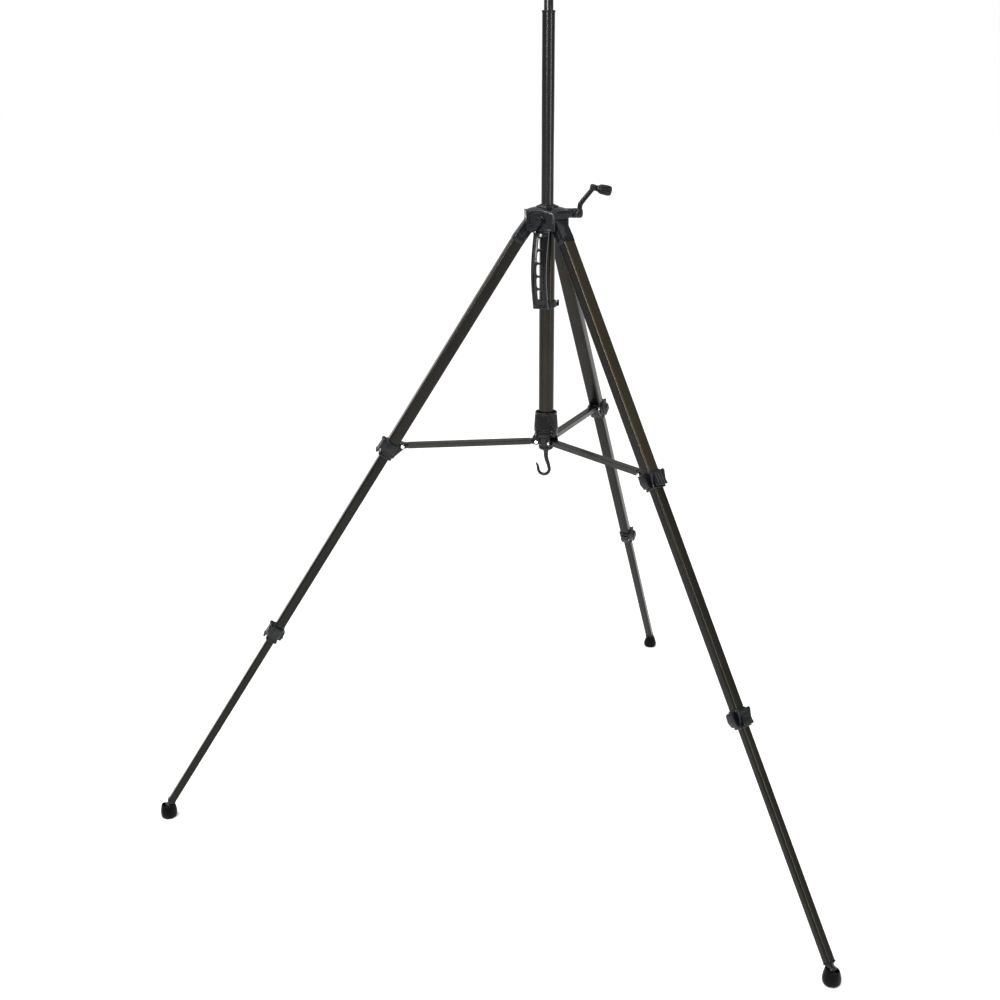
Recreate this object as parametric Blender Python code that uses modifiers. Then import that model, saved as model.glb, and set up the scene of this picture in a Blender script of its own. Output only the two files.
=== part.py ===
"""A field tripod: three telescoping legs, a strut spreader on a sliding hub, and a geared centre column.

Metres, +Z up. The origin lies on the floor below the middle of the object's box. The tripod's own axis is the
empty "tripod_axis"; leg 1 points to -150 degrees, leg 2 to -30 and leg 3 to 90, and the handle faces -Y.
"""

from math import acos, cos, hypot, pi, radians, sin, tan

import bmesh
import bpy
from mathutils import Matrix, Vector

MM = 0.001
GAP = 0.3 * MM  # between pieces that touch

# Stance
LEG_AZIMUTHS = (-150.0, -30.0, 90.0)
SPLAY = 32.3  # leg from the vertical, in degrees
FOOT_CIRCLE = 741.6 * MM  # foot pivots from the tripod's axis
FOOT_PIVOT_Z = 24.4 * MM
AXIS_Y = -FOOT_CIRCLE / 4  # puts the box's middle at y = 0

# Crown and leg hinges
CROWN_BOTTOM, CROWN_RIM, CROWN_TOP = 1130 * MM, 1165.5 * MM, 1174.5 * MM
BOSS_R = 20.5 * MM
HINGE_R, HINGE_Z = 32 * MM, 1140 * MM
LUG_REACH, LUG_HALF = 40 * MM, 17 * MM
SLOT_HALF = 12.8 * MM
HEAD_R = 10 * MM
HINGE_PIN_R = 3 * MM
PIN_PLAY = 0.3 * MM
LEG_OFFSET = 3.1 * MM  # tube's middle outside the hinge

# Leg tubes: width across, depth towards the axis, wall
UPPER, MIDDLE, LOWER = (25 * MM, 22 * MM), (21 * MM, 18.2 * MM), (17.4 * MM, 14.8 * MM)
TUBE_WALL = 1.2 * MM
TUBE_CORNER = 3.6 * MM
UPPER_START, UPPER_END = 34.3 * MM, 483.3 * MM  # distances down the leg from its hinge
MIDDLE_START, MIDDLE_END = 435 * MM, 903.3 * MM
LOWER_START = 855 * MM
CLAMP_LENGTH = 32 * MM
LEVER_OUT = 5.3 * MM  # a lever's pivot outside its clamp's tube
UPPER_CLAMP, LOWER_CLAMP = 469 * MM, 889 * MM  # top edges of the clamps

# Strut spreader
STRUT_PIVOT_R, STRUT_PIVOT_Z = 20 * MM, 738.15 * MM
LUG_DOWN_LEG, LUG_INSIDE = 466 * MM, 14.9 * MM  # outer strut pivot, in the leg's own directions
STRUT_W, STRUT_H, STRUT_WALL = 15 * MM, 9.5 * MM, 1.2 * MM
STRUT_PIN_R = 2 * MM
END_LENGTH, END_BLOCK = 114 * MM, 34 * MM  # from the outer pivot to the fork's tips and its solid root's end
CHANNEL_GAP = 100.5 * MM  # from the outer pivot to the channel's end

# Guide tube, hub and hook
GUIDE_R, GUIDE_WALL = 14 * MM, 1.2 * MM
GUIDE_BOTTOM, GUIDE_TOP = 734.5 * MM, 1143.5 * MM
CAP_BOTTOM = 721.5 * MM
HUB_FLANGE = (747.5 * MM, 756.5 * MM)
NUT_BOTTOM, NUT_TOP = 757 * MM, 795 * MM
HOOK_TURN = 10.0  # swivelled so that its tip clears a folded leg

# Column, mast, rack and pinion
COLUMN_R, COLUMN_WALL = 11 * MM, 1.5 * MM
COLUMN_BOTTOM, COLUMN_TOP = 1060 * MM, 1496 * MM
MAST_R, MAST_WALL = 8 * MM, 1.2 * MM
MAST_BOTTOM, MAST_TOP = 1135 * MM, 1585 * MM
MODULE, PINION_TEETH = 1.0 * MM, 12
PINION_PITCH_R = MODULE * PINION_TEETH / 2
ADDENDUM, DEDENDUM, TOOTH_PLAY = 0.7 * MM, 0.95 * MM, 0.12 * MM
PRESSURE = radians(20)
RACK_PITCH_LINE = 11.4 * MM
RACK_HALF = 2.5 * MM
RACK_BOTTOM, RACK_TOP = 1098 * MM, 1476 * MM
RACK_AZIMUTH, CRANK_AZIMUTH = 120.0, 30.0
SHAFT_OFFSET = RACK_PITCH_LINE + PINION_PITCH_R + 0.05 * MM
SHAFT_Z = 1157 * MM
SHAFT_R = 3 * MM
KNOB_TILT = 12.0  # the crank's knob points this much downwards

# Handle
HANDLE_W = 28 * MM
HANDLE_TOP, HANDLE_BOTTOM = 1127 * MM, 991 * MM

MATERIALS = {  # base colour, roughness, metallic
    "anodised_tube": ((0.055, 0.052, 0.045, 1), 0.38, 0.85),
    "mast_gloss": ((0.015, 0.015, 0.017, 1), 0.18, 0.6),
    "moulded_plastic": ((0.018, 0.020, 0.023, 1), 0.42, 0.0),
    "foot_rubber": ((0.012, 0.012, 0.012, 1), 0.8, 0.0),
    "strut_metal": ((0.13, 0.13, 0.125, 1), 0.4, 0.85),
    "nickel": ((0.75, 0.74, 0.72, 1), 0.2, 1.0),
    "steel": ((0.42, 0.42, 0.43, 1), 0.35, 1.0),
}

for old in list(bpy.data.objects):
    bpy.data.objects.remove(old, do_unlink=True)
parts = bpy.data.collections.new("tripod")
bpy.context.scene.collection.children.link(parts)


def material(name):
    """The Principled material of one finish, made once."""
    if name not in bpy.data.materials:
        colour, roughness, metallic = MATERIALS[name]
        made = bpy.data.materials.new(name)
        made.use_nodes = True
        shader = made.node_tree.nodes["Principled BSDF"]
        shader.inputs["Base Color"].default_value = colour
        shader.inputs["Roughness"].default_value = roughness
        shader.inputs["Metallic"].default_value = metallic
        made.diffuse_color = colour
    return bpy.data.materials[name]


def loose(mesh):
    """An object on a mesh, linked so that modifiers on it are evaluated."""
    made = bpy.data.objects.new("piece", mesh)
    parts.objects.link(made)
    return made


def from_bmesh(bm):
    mesh = bpy.data.meshes.new("piece")
    bm.to_mesh(mesh)
    bm.free()
    return loose(mesh)


def evaluated_mesh(source):
    """The mesh that an object shows once its modifiers have run."""
    bpy.context.view_layer.update()
    return bpy.data.meshes.new_from_object(source.evaluated_get(bpy.context.evaluated_depsgraph_get()))


def discard(*objects):
    for one in objects:
        bpy.data.objects.remove(one, do_unlink=True)


def box(low, high):
    """A block between two opposite corners."""
    bm = bmesh.new()
    bmesh.ops.create_cube(bm, size=1)
    size = Vector(high) - Vector(low)
    middle = (Vector(high) + Vector(low)) / 2
    bm.transform(Matrix.Translation(middle) @ Matrix.Diagonal((*size, 1)))
    return from_bmesh(bm)


def rod(start, end, radius, end_radius=None, segments=18):
    """A round bar or cone from start to end."""
    start, end = Vector(start), Vector(end)
    along = end - start
    bm = bmesh.new()
    bmesh.ops.create_cone(bm, cap_ends=True, segments=segments, radius1=radius,
                          radius2=radius if end_radius is None else end_radius, depth=along.length)
    turn = along.to_track_quat("Z", "Y").to_matrix().to_4x4()
    bm.transform(Matrix.Translation((start + end) / 2) @ turn)
    return from_bmesh(bm)


def ball(centre, radius):
    bm = bmesh.new()
    bmesh.ops.create_uvsphere(bm, u_segments=14, v_segments=7, radius=radius)
    bm.transform(Matrix.Translation(centre))
    return from_bmesh(bm)


def turned(profile, segments=32):
    """A solid of revolution about Z. The profile runs down its outer side, top to bottom."""
    mesh = bpy.data.meshes.new("profile")
    closed = profile[0][0] > 0
    count = len(profile)
    edges = [(i, (i + 1) % count) for i in range(count if closed else count - 1)]
    mesh.from_pydata([(r, 0, z) for r, z in profile], edges, [])
    source = loose(mesh)
    screw = source.modifiers.new("turn", "SCREW")
    screw.steps = screw.render_steps = segments
    screw.use_merge_vertices = True
    screw.merge_threshold = 0.00001
    made = loose(evaluated_mesh(source))
    discard(source)
    return made


def plate(outline, low, high, holes=(), plane="XY"):
    """A flat outline made thick from low to high: along Z in the XY plane, along Y in the XZ plane.

    The curve is filled in millimetres, where small teeth survive, and scaled down afterwards.
    """
    curve = bpy.data.curves.new("outline", "CURVE")
    curve.dimensions = "2D"
    curve.fill_mode = "BOTH"
    curve.extrude = (high - low) / 2 / MM
    for ring in (outline, *holes):
        spline = curve.splines.new("POLY")
        spline.points.add(len(ring) - 1)
        for point, (x, y) in zip(spline.points, ring):
            point.co = (x / MM, y / MM, 0, 1)
        spline.use_cyclic_u = True
    source = loose(curve)
    bm = bmesh.new()
    bm.from_mesh(evaluated_mesh(source))
    bmesh.ops.remove_doubles(bm, verts=bm.verts, dist=0.0001)
    bm.transform(Matrix.Translation((0, 0, (low + high) / 2)) @ Matrix.Scale(MM, 4))
    if plane == "XZ":
        bm.transform(Matrix(((1, 0, 0, 0), (0, 0, 1, 0), (0, 1, 0, 0), (0, 0, 0, 1))))
    bmesh.ops.recalc_face_normals(bm, faces=bm.faces)
    discard(source)
    return from_bmesh(bm)


def slab(outline, thickness):
    """A flat outline in the XZ plane made thick along Y, for outlines too fine for a filled curve."""
    mesh = bpy.data.meshes.new("outline")
    mesh.from_pydata([(x, 0, z) for x, z in outline], [], [range(len(outline))])
    source = loose(mesh)
    solid = source.modifiers.new("thick", "SOLIDIFY")
    solid.thickness = thickness
    solid.offset = 0
    made = loose(evaluated_mesh(source))
    discard(source)
    return made


def arc(centre, radius, start, end, steps):
    """Points along an arc, angles in degrees."""
    turns = [radians(start + (end - start) * i / steps) for i in range(steps + 1)]
    return [(centre[0] + radius * cos(a), centre[1] + radius * sin(a)) for a in turns]


def rounded(depth, width, radius, centre_x=0.0, steps=3):
    """A rectangle with round corners: depth along X, width along Y."""
    x, y = depth / 2 - radius, width / 2 - radius
    corners = ((x, y, 0), (-x, y, 90), (-x, -y, 180), (x, -y, 270))
    return [p for cx, cy, a in corners for p in arc((cx + centre_x, cy), radius, a, a + 90, steps)]


def hull(*circles, steps=12):
    """The tight outline round a few circles, each (x, y, radius)."""
    last_turn = 360 * (steps - 1) / steps
    points = sorted({p for x, y, r in circles for p in arc((x, y), r, 0, last_turn, steps - 1)})

    def half(row):
        out = []
        for p in row:
            while len(out) > 1 and ((out[-1][0] - out[-2][0]) * (p[1] - out[-2][1])
                                    - (out[-1][1] - out[-2][1]) * (p[0] - out[-2][0])) <= 1e-12:
                out.pop()
            out.append(p)
        return out[:-1]

    return half(points) + half(points[::-1])


def combine(base, operation, *tools):
    """Cuts tools from base, or joins them to it, one after another, closing the slivers that a cut leaves."""
    for tool in tools:
        step = base.modifiers.new("step", "BOOLEAN")
        step.operation = operation
        step.object = tool
        bm = bmesh.new()
        bm.from_mesh(evaluated_mesh(base))
        slivers = [edge for edge in bm.edges if edge.is_boundary]
        bmesh.ops.holes_fill(bm, edges=slivers, sides=4)
        base.modifiers.clear()
        bm.to_mesh(base.data)
        bm.free()
        discard(tool)
    return base


def cut(base, *tools):
    return combine(base, "DIFFERENCE", *tools)


def join(base, *tools):
    return combine(base, "UNION", *tools)


def empty(name, location=(0, 0, 0), turn=(0, 0, 0), parent=None):
    """A reference frame for the pieces under it, turn in degrees."""
    made = bpy.data.objects.new(name, None)
    made.location = location
    made.rotation_euler = [radians(a) for a in turn]
    made.parent = parent
    parts.objects.link(made)
    return made


def place(name, piece, finish, *frames, keep_angle=30):
    """Names a finished piece and puts a copy on each frame. A repeated piece gets the frame's number."""
    mesh = piece.data
    mesh.name = name
    mesh.materials.clear()
    mesh.materials.append(material(finish))
    mesh.shade_smooth()
    mesh.set_sharp_from_angle(angle=radians(keep_angle))
    for number, frame in enumerate(frames, 1):
        made = bpy.data.objects.new(f"{name}_{number}" if len(frames) > 1 else name, mesh)
        made.parent = frame
        parts.objects.link(made)
    discard(piece)


def at(azimuth, along, z=0.0, aside=0.0):
    """A point at a distance along an azimuth from the tripod's axis, moved aside to its left."""
    a = radians(azimuth)
    return Vector((along * cos(a) - aside * sin(a), along * sin(a) + aside * cos(a), z))


# Frames: the tripod's axis, and for each leg its hinge, its strut pivots and its foot
axis = empty("tripod_axis", (0, AXIS_Y, 0))
hinges, feet, inner_pivots, outer_pivots = [], [], [], []
for number, azimuth in enumerate(LEG_AZIMUTHS, 1):
    hinges.append(empty(f"leg_{number}_hinge", at(azimuth, HINGE_R, HINGE_Z), (0, -SPLAY, azimuth), axis))
    feet.append(empty(f"foot_{number}_pivot", at(azimuth, FOOT_CIRCLE, FOOT_PIVOT_Z), (0, 0, azimuth), axis))
    inner_pivots.append(empty(f"strut_{number}_inner", at(azimuth, STRUT_PIVOT_R, STRUT_PIVOT_Z),
                              (0, 0, azimuth), axis))
    outer_pivots.append(empty(f"strut_{number}_outer", (-LUG_INSIDE, 0, -LUG_DOWN_LEG), (0, SPLAY, 0),
                              hinges[-1]))

splay = radians(SPLAY)
LUG_R = HINGE_R + LUG_DOWN_LEG * sin(splay) - LUG_INSIDE * cos(splay)
STRUT_LENGTH = LUG_R - STRUT_PIVOT_R
LEG_LENGTH = hypot(FOOT_CIRCLE - HINGE_R - LEG_OFFSET * cos(splay),
                   HINGE_Z + LEG_OFFSET * sin(splay) - FOOT_PIVOT_Z)


def crown():
    """The casting at the top: three forked lugs for the legs, and the bores of the column, shaft and lock."""
    outline = []
    for azimuth in LEG_AZIMUTHS:
        for side in (-1, 1):
            corner = at(azimuth, LUG_REACH, aside=side * LUG_HALF)
            outline.append((corner.x, corner.y))
    body = plate(outline, CROWN_BOTTOM, CROWN_RIM)
    top = turned([(0, CROWN_TOP), (13.5 * MM, CROWN_TOP), (BOSS_R, 1171.4 * MM), (BOSS_R, 1169.8 * MM),
                  (34 * MM, CROWN_RIM + 0.2 * MM), (34 * MM, 1160 * MM), (0, 1160 * MM)])
    crank_boss = rod(at(CRANK_AZIMUTH, 20 * MM, SHAFT_Z, SHAFT_OFFSET),
                     at(CRANK_AZIMUTH, 48 * MM, SHAFT_Z, SHAFT_OFFSET), 8.5 * MM, 7.5 * MM)
    lock_boss = rod(at(-90, 30 * MM, 1149 * MM), at(-90, 37 * MM, 1149 * MM), 8.5 * MM, 7.5 * MM)
    join(body, top, crank_boss, lock_boss)
    for azimuth in LEG_AZIMUTHS:
        slot = box((21.3 * MM, -SLOT_HALF, CROWN_BOTTOM - MM),
                   (60 * MM, SLOT_HALF, HINGE_Z + HEAD_R + 0.8 * MM))
        slot.data.transform(Matrix.Rotation(radians(azimuth), 4, "Z"))
        pin_bore = rod(at(azimuth, HINGE_R, HINGE_Z, -30 * MM), at(azimuth, HINGE_R, HINGE_Z, 30 * MM),
                       HINGE_PIN_R + PIN_PLAY)
        cut(body, slot, pin_bore)
    tube_socket = rod((0, 0, CROWN_BOTTOM - MM), (0, 0, GUIDE_TOP + GAP), GUIDE_R + GAP, segments=32)
    column_bore = rod((0, 0, GUIDE_TOP - MM), (0, 0, CROWN_TOP + MM), COLUMN_R + GAP, segments=32)
    keyway = box((9 * MM, -RACK_HALF - GAP, GUIDE_TOP - MM), (12.6 * MM, RACK_HALF + GAP, CROWN_TOP + MM))
    keyway.data.transform(Matrix.Rotation(radians(RACK_AZIMUTH), 4, "Z"))
    pinion_room = rod(at(CRANK_AZIMUTH, -4 * MM, SHAFT_Z, SHAFT_OFFSET),
                      at(CRANK_AZIMUTH, 4 * MM, SHAFT_Z, SHAFT_OFFSET), 7.3 * MM)
    shaft_bore = rod(at(CRANK_AZIMUTH, -10 * MM, SHAFT_Z, SHAFT_OFFSET),
                     at(CRANK_AZIMUTH, 60 * MM, SHAFT_Z, SHAFT_OFFSET), SHAFT_R + PIN_PLAY)
    lock_bore = rod(at(-90, 5 * MM, 1149 * MM), at(-90, 40 * MM, 1149 * MM), 4 * MM + PIN_PLAY)
    cut(body, tube_socket, column_bore, keyway, pinion_room, shaft_bore, lock_bore)
    place("crown", body, "moulded_plastic", axis)


def hinge_pins():
    half = 19.5 * MM
    place("hinge_pin", rod((0, -half, 0), (0, half, 0), HINGE_PIN_R, segments=20), "steel", *hinges)


def leg_tube(size, inner_size, start, end):
    """A hollow leg section: a rounded rectangle with its flat sides along the leg."""
    ring = rounded(size[1], size[0], TUBE_CORNER, LEG_OFFSET)
    bore = rounded(inner_size[1], inner_size[0], max(TUBE_CORNER - TUBE_WALL, 0.6 * MM), LEG_OFFSET)
    return plate(ring, -end, -start, holes=[bore])


def inside(size):
    """The bore of a tube, width and depth."""
    return size[0] - 2 * TUBE_WALL, size[1] - 2 * TUBE_WALL


def legs():
    """The three sections of each leg, its knuckle at the top, and its foot."""
    knuckle = plate(hull((0, 0, HEAD_R), (LEG_OFFSET + 10 * MM, -33 * MM, MM),
                         (LEG_OFFSET - 10 * MM, -33 * MM, MM),
                         steps=20), -UPPER[0] / 2, UPPER[0] / 2, plane="XZ")
    bore = inside(UPPER)
    spigot = plate(rounded(bore[1] - 2 * GAP, bore[0] - 2 * GAP, 2 * MM, LEG_OFFSET), -58 * MM, -30 * MM)
    join(knuckle, spigot)
    cut(knuckle, rod((0, -20 * MM, 0), (0, 20 * MM, 0), HINGE_PIN_R + PIN_PLAY, segments=20))
    place("leg_head", knuckle, "moulded_plastic", *hinges)

    place("upper_tube", leg_tube(UPPER, bore, UPPER_START, UPPER_END), "anodised_tube", *hinges)
    middle = leg_tube(MIDDLE, inside(MIDDLE), MIDDLE_START, MIDDLE_END)
    place("middle_tube", middle, "anodised_tube", *hinges)

    tube_end = LEG_LENGTH - 15 * MM
    lower = leg_tube(LOWER, inside(LOWER), LOWER_START, tube_end)
    bore = inside(LOWER)
    ferrule = plate(rounded(bore[1] + MM, bore[0] + MM, 2 * MM, LEG_OFFSET),
                    -tube_end - MM, -tube_end + 20 * MM)
    neck = rod((LEG_OFFSET, 0, -tube_end + 5 * MM), (LEG_OFFSET, 0, -LEG_LENGTH), 6 * MM)
    join(lower, ferrule, neck, ball((LEG_OFFSET, 0, -LEG_LENGTH), 7 * MM))
    place("lower_tube", lower, "anodised_tube", *hinges)

    floor = -FOOT_PIVOT_Z
    cup = turned([(0, floor + 16.8 * MM), (8 * MM, floor + 16.8 * MM), (13.4 * MM, floor + 21 * MM),
                  (13.4 * MM, floor + 31 * MM), (15.2 * MM, floor + 31 * MM), (16 * MM, floor + 29 * MM),
                  (16.25 * MM, floor + 3 * MM), (15.2 * MM, floor), (0, floor)])
    place("foot", cup, "foot_rubber", *feet)


def clamp(name, top, outer, inner, frames, with_clevis):
    """A moulded collar at a tube's end, with ears for its lever and, on the upper one, a strut fork."""
    half_w, half_d = outer[0] / 2 + 3 * MM, outer[1] / 2 + 2.6 * MM
    bottom = top + CLAMP_LENGTH
    collar = plate(rounded(2 * half_d, 2 * half_w, 4.5 * MM, LEG_OFFSET), -bottom, -top)
    pivot_x = LEG_OFFSET + outer[1] / 2 + LEVER_OUT
    for side in (-1, 1):
        ear = plate(hull((pivot_x, -top - 5 * MM, 3.6 * MM),
                         (LEG_OFFSET + half_d - 2 * MM, -top - 20 * MM, 3 * MM),
                         (LEG_OFFSET + half_d - 2 * MM, -top - 5 * MM, 3 * MM)),
                    side * half_w - 1.5 * MM - side * 1.5 * MM,
                    side * half_w + 1.5 * MM - side * 1.5 * MM, plane="XZ")
        join(collar, ear)
    screw_boss = plate(hull((-half_w + MM, -top - 4 * MM, 2.5 * MM),
                            (-half_w - 6.5 * MM, -top - 6.5 * MM, 4 * MM),
                            (-half_w - 8.5 * MM, -top - 24 * MM, 2.5 * MM),
                            (-half_w + MM, -top - 25 * MM, 2.5 * MM)),
                       LEG_OFFSET - 8 * MM, LEG_OFFSET + 7 * MM, plane="XZ")
    screw_boss.data.transform(Matrix.Rotation(pi / 2, 4, "Z"))
    screw_boss.data.transform(Matrix.Diagonal((-1, 1, 1, 1)))
    screw_boss.data.flip_normals()
    join(collar, screw_boss)
    if with_clevis:
        for side in (-1, 1):
            low, high = sorted((side * 9.4 * MM, side * 12.2 * MM))
            cheek = plate(hull((-LUG_INSIDE, -LUG_DOWN_LEG, 6.2 * MM),
                               (LEG_OFFSET - half_d + 2 * MM, -top - 3 * MM, 2 * MM),
                               (LEG_OFFSET - half_d + 2 * MM, -top - 25 * MM, 2 * MM)), low, high, plane="XZ")
            join(collar, cheek)
        join(collar, box((-LUG_INSIDE - 1.5 * MM, -11 * MM, -top - 27 * MM),
                         (LEG_OFFSET - half_d + MM, 11 * MM, -top - 7 * MM)))
        cut(collar, rod((-LUG_INSIDE, -20 * MM, -LUG_DOWN_LEG), (-LUG_INSIDE, 20 * MM, -LUG_DOWN_LEG),
                        STRUT_PIN_R + PIN_PLAY, segments=12))
    else:
        join(collar, box((LEG_OFFSET - half_d - 4 * MM, -8 * MM, -top - 24 * MM),
                         (LEG_OFFSET - half_d + MM, 8 * MM, -top - 6 * MM)))
    seat = top + CLAMP_LENGTH - 17.4 * MM
    wide = plate(rounded(outer[1] + 2 * GAP, outer[0] + 2 * GAP, TUBE_CORNER, LEG_OFFSET),
                 -seat, -top + 10 * MM)
    narrow = plate(rounded(inner[1] + 2 * GAP, inner[0] + 2 * GAP, TUBE_CORNER, LEG_OFFSET),
                   -bottom - MM, -seat + MM)
    pin_bore = rod((pivot_x, -30 * MM, -top - 5 * MM), (pivot_x, 30 * MM, -top - 5 * MM), 2 * MM + PIN_PLAY,
                   segments=12)
    cut(collar, wide, narrow, pin_bore)
    place(name, collar, "moulded_plastic", *frames)
    return pivot_x, half_w


def levers(name, top, pivot_x, half_w):
    """The flip lever on a clamp's outer face: hinged at its top, its free end down and standing off."""
    frames = [empty(f"{name}_{number}_pivot", (pivot_x, 0, -top - 5 * MM), (0, 0, 0), hinge)
              for number, hinge in enumerate(hinges, 1)]
    half = half_w - 3 * MM - GAP
    flap = plate(hull((0, 0, 2.3 * MM), (0, -14 * MM, 1.8 * MM)), -half, half, plane="XZ")
    tip = plate(hull((0, -14 * MM, 1.8 * MM), (4.2 * MM, -27 * MM, 1.5 * MM)), -half, half, plane="XZ")
    trunnion = rod((0, -half_w + 0.2 * MM, 0), (0, half_w - 0.2 * MM, 0), 2 * MM, segments=12)
    join(flap, tip, trunnion)
    place(name, flap, "moulded_plastic", *frames)


def struts():
    """Each strut: an open channel on the hub, a forked end piece on the leg, and the rivets at both ends."""
    half_h, half_w = STRUT_H / 2, STRUT_W / 2
    channel_end = STRUT_LENGTH - CHANNEL_GAP
    channel = plate(hull((0, 0, half_h), (channel_end - 0.5 * MM, half_h - 0.5 * MM, 0.5 * MM),
                         (channel_end - 0.5 * MM, -half_h + 0.5 * MM, 0.5 * MM), steps=16),
                    -half_w, half_w, plane="XZ")
    hollow = box((9 * MM, -half_w + STRUT_WALL, -half_h - MM),
                 (channel_end + MM, half_w - STRUT_WALL, half_h - STRUT_WALL))
    cut(channel, hollow, rod((0, -20 * MM, 0), (0, 20 * MM, 0), STRUT_PIN_R + PIN_PLAY, segments=12))
    place("brace", channel, "strut_metal", *inner_pivots)

    side_in, side_out = half_w + GAP, half_w + GAP + STRUT_WALL
    fork = plate(hull((0, 0, half_h), (-END_LENGTH, half_h - 0.5 * MM, 0.5 * MM),
                      (-END_LENGTH, -half_h + 0.5 * MM, 0.5 * MM), steps=16), -side_out, side_out, plane="XZ")
    cut(fork, box((-END_LENGTH - 5 * MM, -side_in, -half_h - MM), (-END_BLOCK, side_in, half_h + MM)))
    cut(fork, rod((0, -20 * MM, 0), (0, 20 * MM, 0), STRUT_PIN_R + PIN_PLAY, segments=12))
    place("brace_end", fork, "strut_metal", *outer_pivots)

    outer_rivet = turned([(0, 13.6 * MM), (3 * MM, 13 * MM), (3.6 * MM, 12.5 * MM), (STRUT_PIN_R, 12.5 * MM),
                          (STRUT_PIN_R, -12.5 * MM), (3.6 * MM, -12.5 * MM), (3 * MM, -13 * MM),
                          (0, -13.6 * MM)], 12)
    outer_rivet.data.transform(Matrix.Rotation(pi / 2, 4, "X"))
    place("brace_outer_pin", outer_rivet, "nickel", *outer_pivots)
    inner_rivet = turned([(0, 12.2 * MM), (3 * MM, 11.6 * MM), (3.6 * MM, 11.1 * MM), (STRUT_PIN_R, 11.1 * MM),
                          (STRUT_PIN_R, -11.1 * MM), (3.6 * MM, -11.1 * MM), (3 * MM, -11.6 * MM),
                          (0, -12.2 * MM)], 12)
    inner_rivet.data.transform(Matrix.Rotation(pi / 2, 4, "X"))
    place("brace_inner_pin", inner_rivet, "nickel", *inner_pivots)


def hub():
    """The sliding hub: a flange with three forks below it and a threaded neck above, and its lock nut."""
    low, high = HUB_FLANGE
    inner = GUIDE_R + GAP
    body = turned([(inner, 786 * MM), (17.4 * MM, 786 * MM), (17.4 * MM, high), (20.9 * MM, high),
                   (21.5 * MM, high - MM), (21.5 * MM, low + MM), (20.5 * MM, low), (inner, low)], 32)
    for azimuth in LEG_AZIMUTHS:
        for side in (-1, 1):
            near, far = sorted((side * 7.9 * MM, side * 10.8 * MM))
            cheek = plate(hull((STRUT_PIVOT_R, STRUT_PIVOT_Z, 5.6 * MM),
                               (STRUT_PIVOT_R - 2 * MM, low + 3 * MM, 3.5 * MM),
                               (STRUT_PIVOT_R - MM, low + 3 * MM, 3.5 * MM)), near, far, plane="XZ")
            cheek.data.transform(Matrix.Rotation(radians(azimuth), 4, "Z"))
            join(body, cheek)
        cut(body, rod(at(azimuth, STRUT_PIVOT_R, STRUT_PIVOT_Z, -11.5 * MM),
                      at(azimuth, STRUT_PIVOT_R, STRUT_PIVOT_Z, 11.5 * MM),
                      STRUT_PIN_R + PIN_PLAY, segments=12))
    cut(body, rod((0, 0, 700 * MM), (0, 0, 800 * MM), inner, segments=32))
    place("hub", body, "moulded_plastic", axis)

    nut = turned([(18.3 * MM, NUT_TOP), (19.9 * MM, NUT_TOP), (20.5 * MM, NUT_TOP - MM),
                  (22.5 * MM, NUT_BOTTOM + 4 * MM), (21.8 * MM, NUT_BOTTOM), (17.8 * MM, NUT_BOTTOM),
                  (17.8 * MM, 786.5 * MM), (14.8 * MM, 786.5 * MM), (14.8 * MM, 790 * MM),
                  (18.3 * MM, 790 * MM)], 32)
    place("hub_nut", nut, "moulded_plastic", axis)


def guide():
    """The tube that the hub slides on, its end cap, and the swivelling hook below."""
    inner = GUIDE_R - GUIDE_WALL
    tube = turned([(inner, GUIDE_TOP), (GUIDE_R, GUIDE_TOP), (GUIDE_R, GUIDE_BOTTOM),
                   (inner, GUIDE_BOTTOM)], 32)
    place("guide_tube", tube, "anodised_tube", axis)
    lip = GUIDE_BOTTOM - GAP
    bore = 3.3 * MM
    cap = turned([(bore, 742 * MM), (inner - GAP, 742 * MM), (inner - GAP, lip), (GUIDE_R, lip),
                  (GUIDE_R, CAP_BOTTOM + 3 * MM), (11.4 * MM, CAP_BOTTOM), (bore, CAP_BOTTOM)], 32)
    place("guide_end_cap", cap, "moulded_plastic", axis)

    bowl = [(x / MM, z / MM) for x, z in arc((-3.9 * MM, 682.4 * MM), 10.7 * MM, 25, -175, 12)]
    route = [(0, 718), (0, 711), (0.7, 704.5), (2.6, 698.5), (4.8, 692), *bowl, (-15.2, 686), (-16.4, 689.5),
             (-17.9, 692.3)]
    radii = [4.4, 4.3, 4.0, 3.7, 3.4] + [3.1 - 0.05 * step for step in range(13)] + [2.4, 2.2, 1.6]
    curve = bpy.data.curves.new("hook", "CURVE")
    curve.dimensions = "3D"
    curve.bevel_depth = MM
    curve.bevel_resolution = 2
    curve.use_fill_caps = True
    spline = curve.splines.new("POLY")
    spline.points.add(len(route) - 1)
    for point, (x, z), radius in zip(spline.points, route, radii):
        point.co = (x * MM, 0, z * MM, 1)
        point.radius = radius
    source = loose(curve)
    bm = bmesh.new()
    bm.from_mesh(evaluated_mesh(source))
    discard(source)
    bmesh.ops.remove_doubles(bm, verts=bm.verts, dist=0.000001)
    bmesh.ops.recalc_face_normals(bm, faces=bm.faces)
    hook = from_bmesh(bm)
    shank = turned([(0, 745 * MM), (6 * MM, 745 * MM), (6 * MM, 742.4 * MM), (3 * MM, 742.4 * MM),
                    (3 * MM, CAP_BOTTOM - 0.4 * MM), (4.9 * MM, CAP_BOTTOM - 0.4 * MM), (4.9 * MM, 716 * MM),
                    (0, 716 * MM)], 24)
    join(shank, hook)
    shank.data.transform(Matrix.Rotation(radians(HOOK_TURN), 4, "Z"))
    place("hook", shank, "strut_metal", axis)


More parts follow.
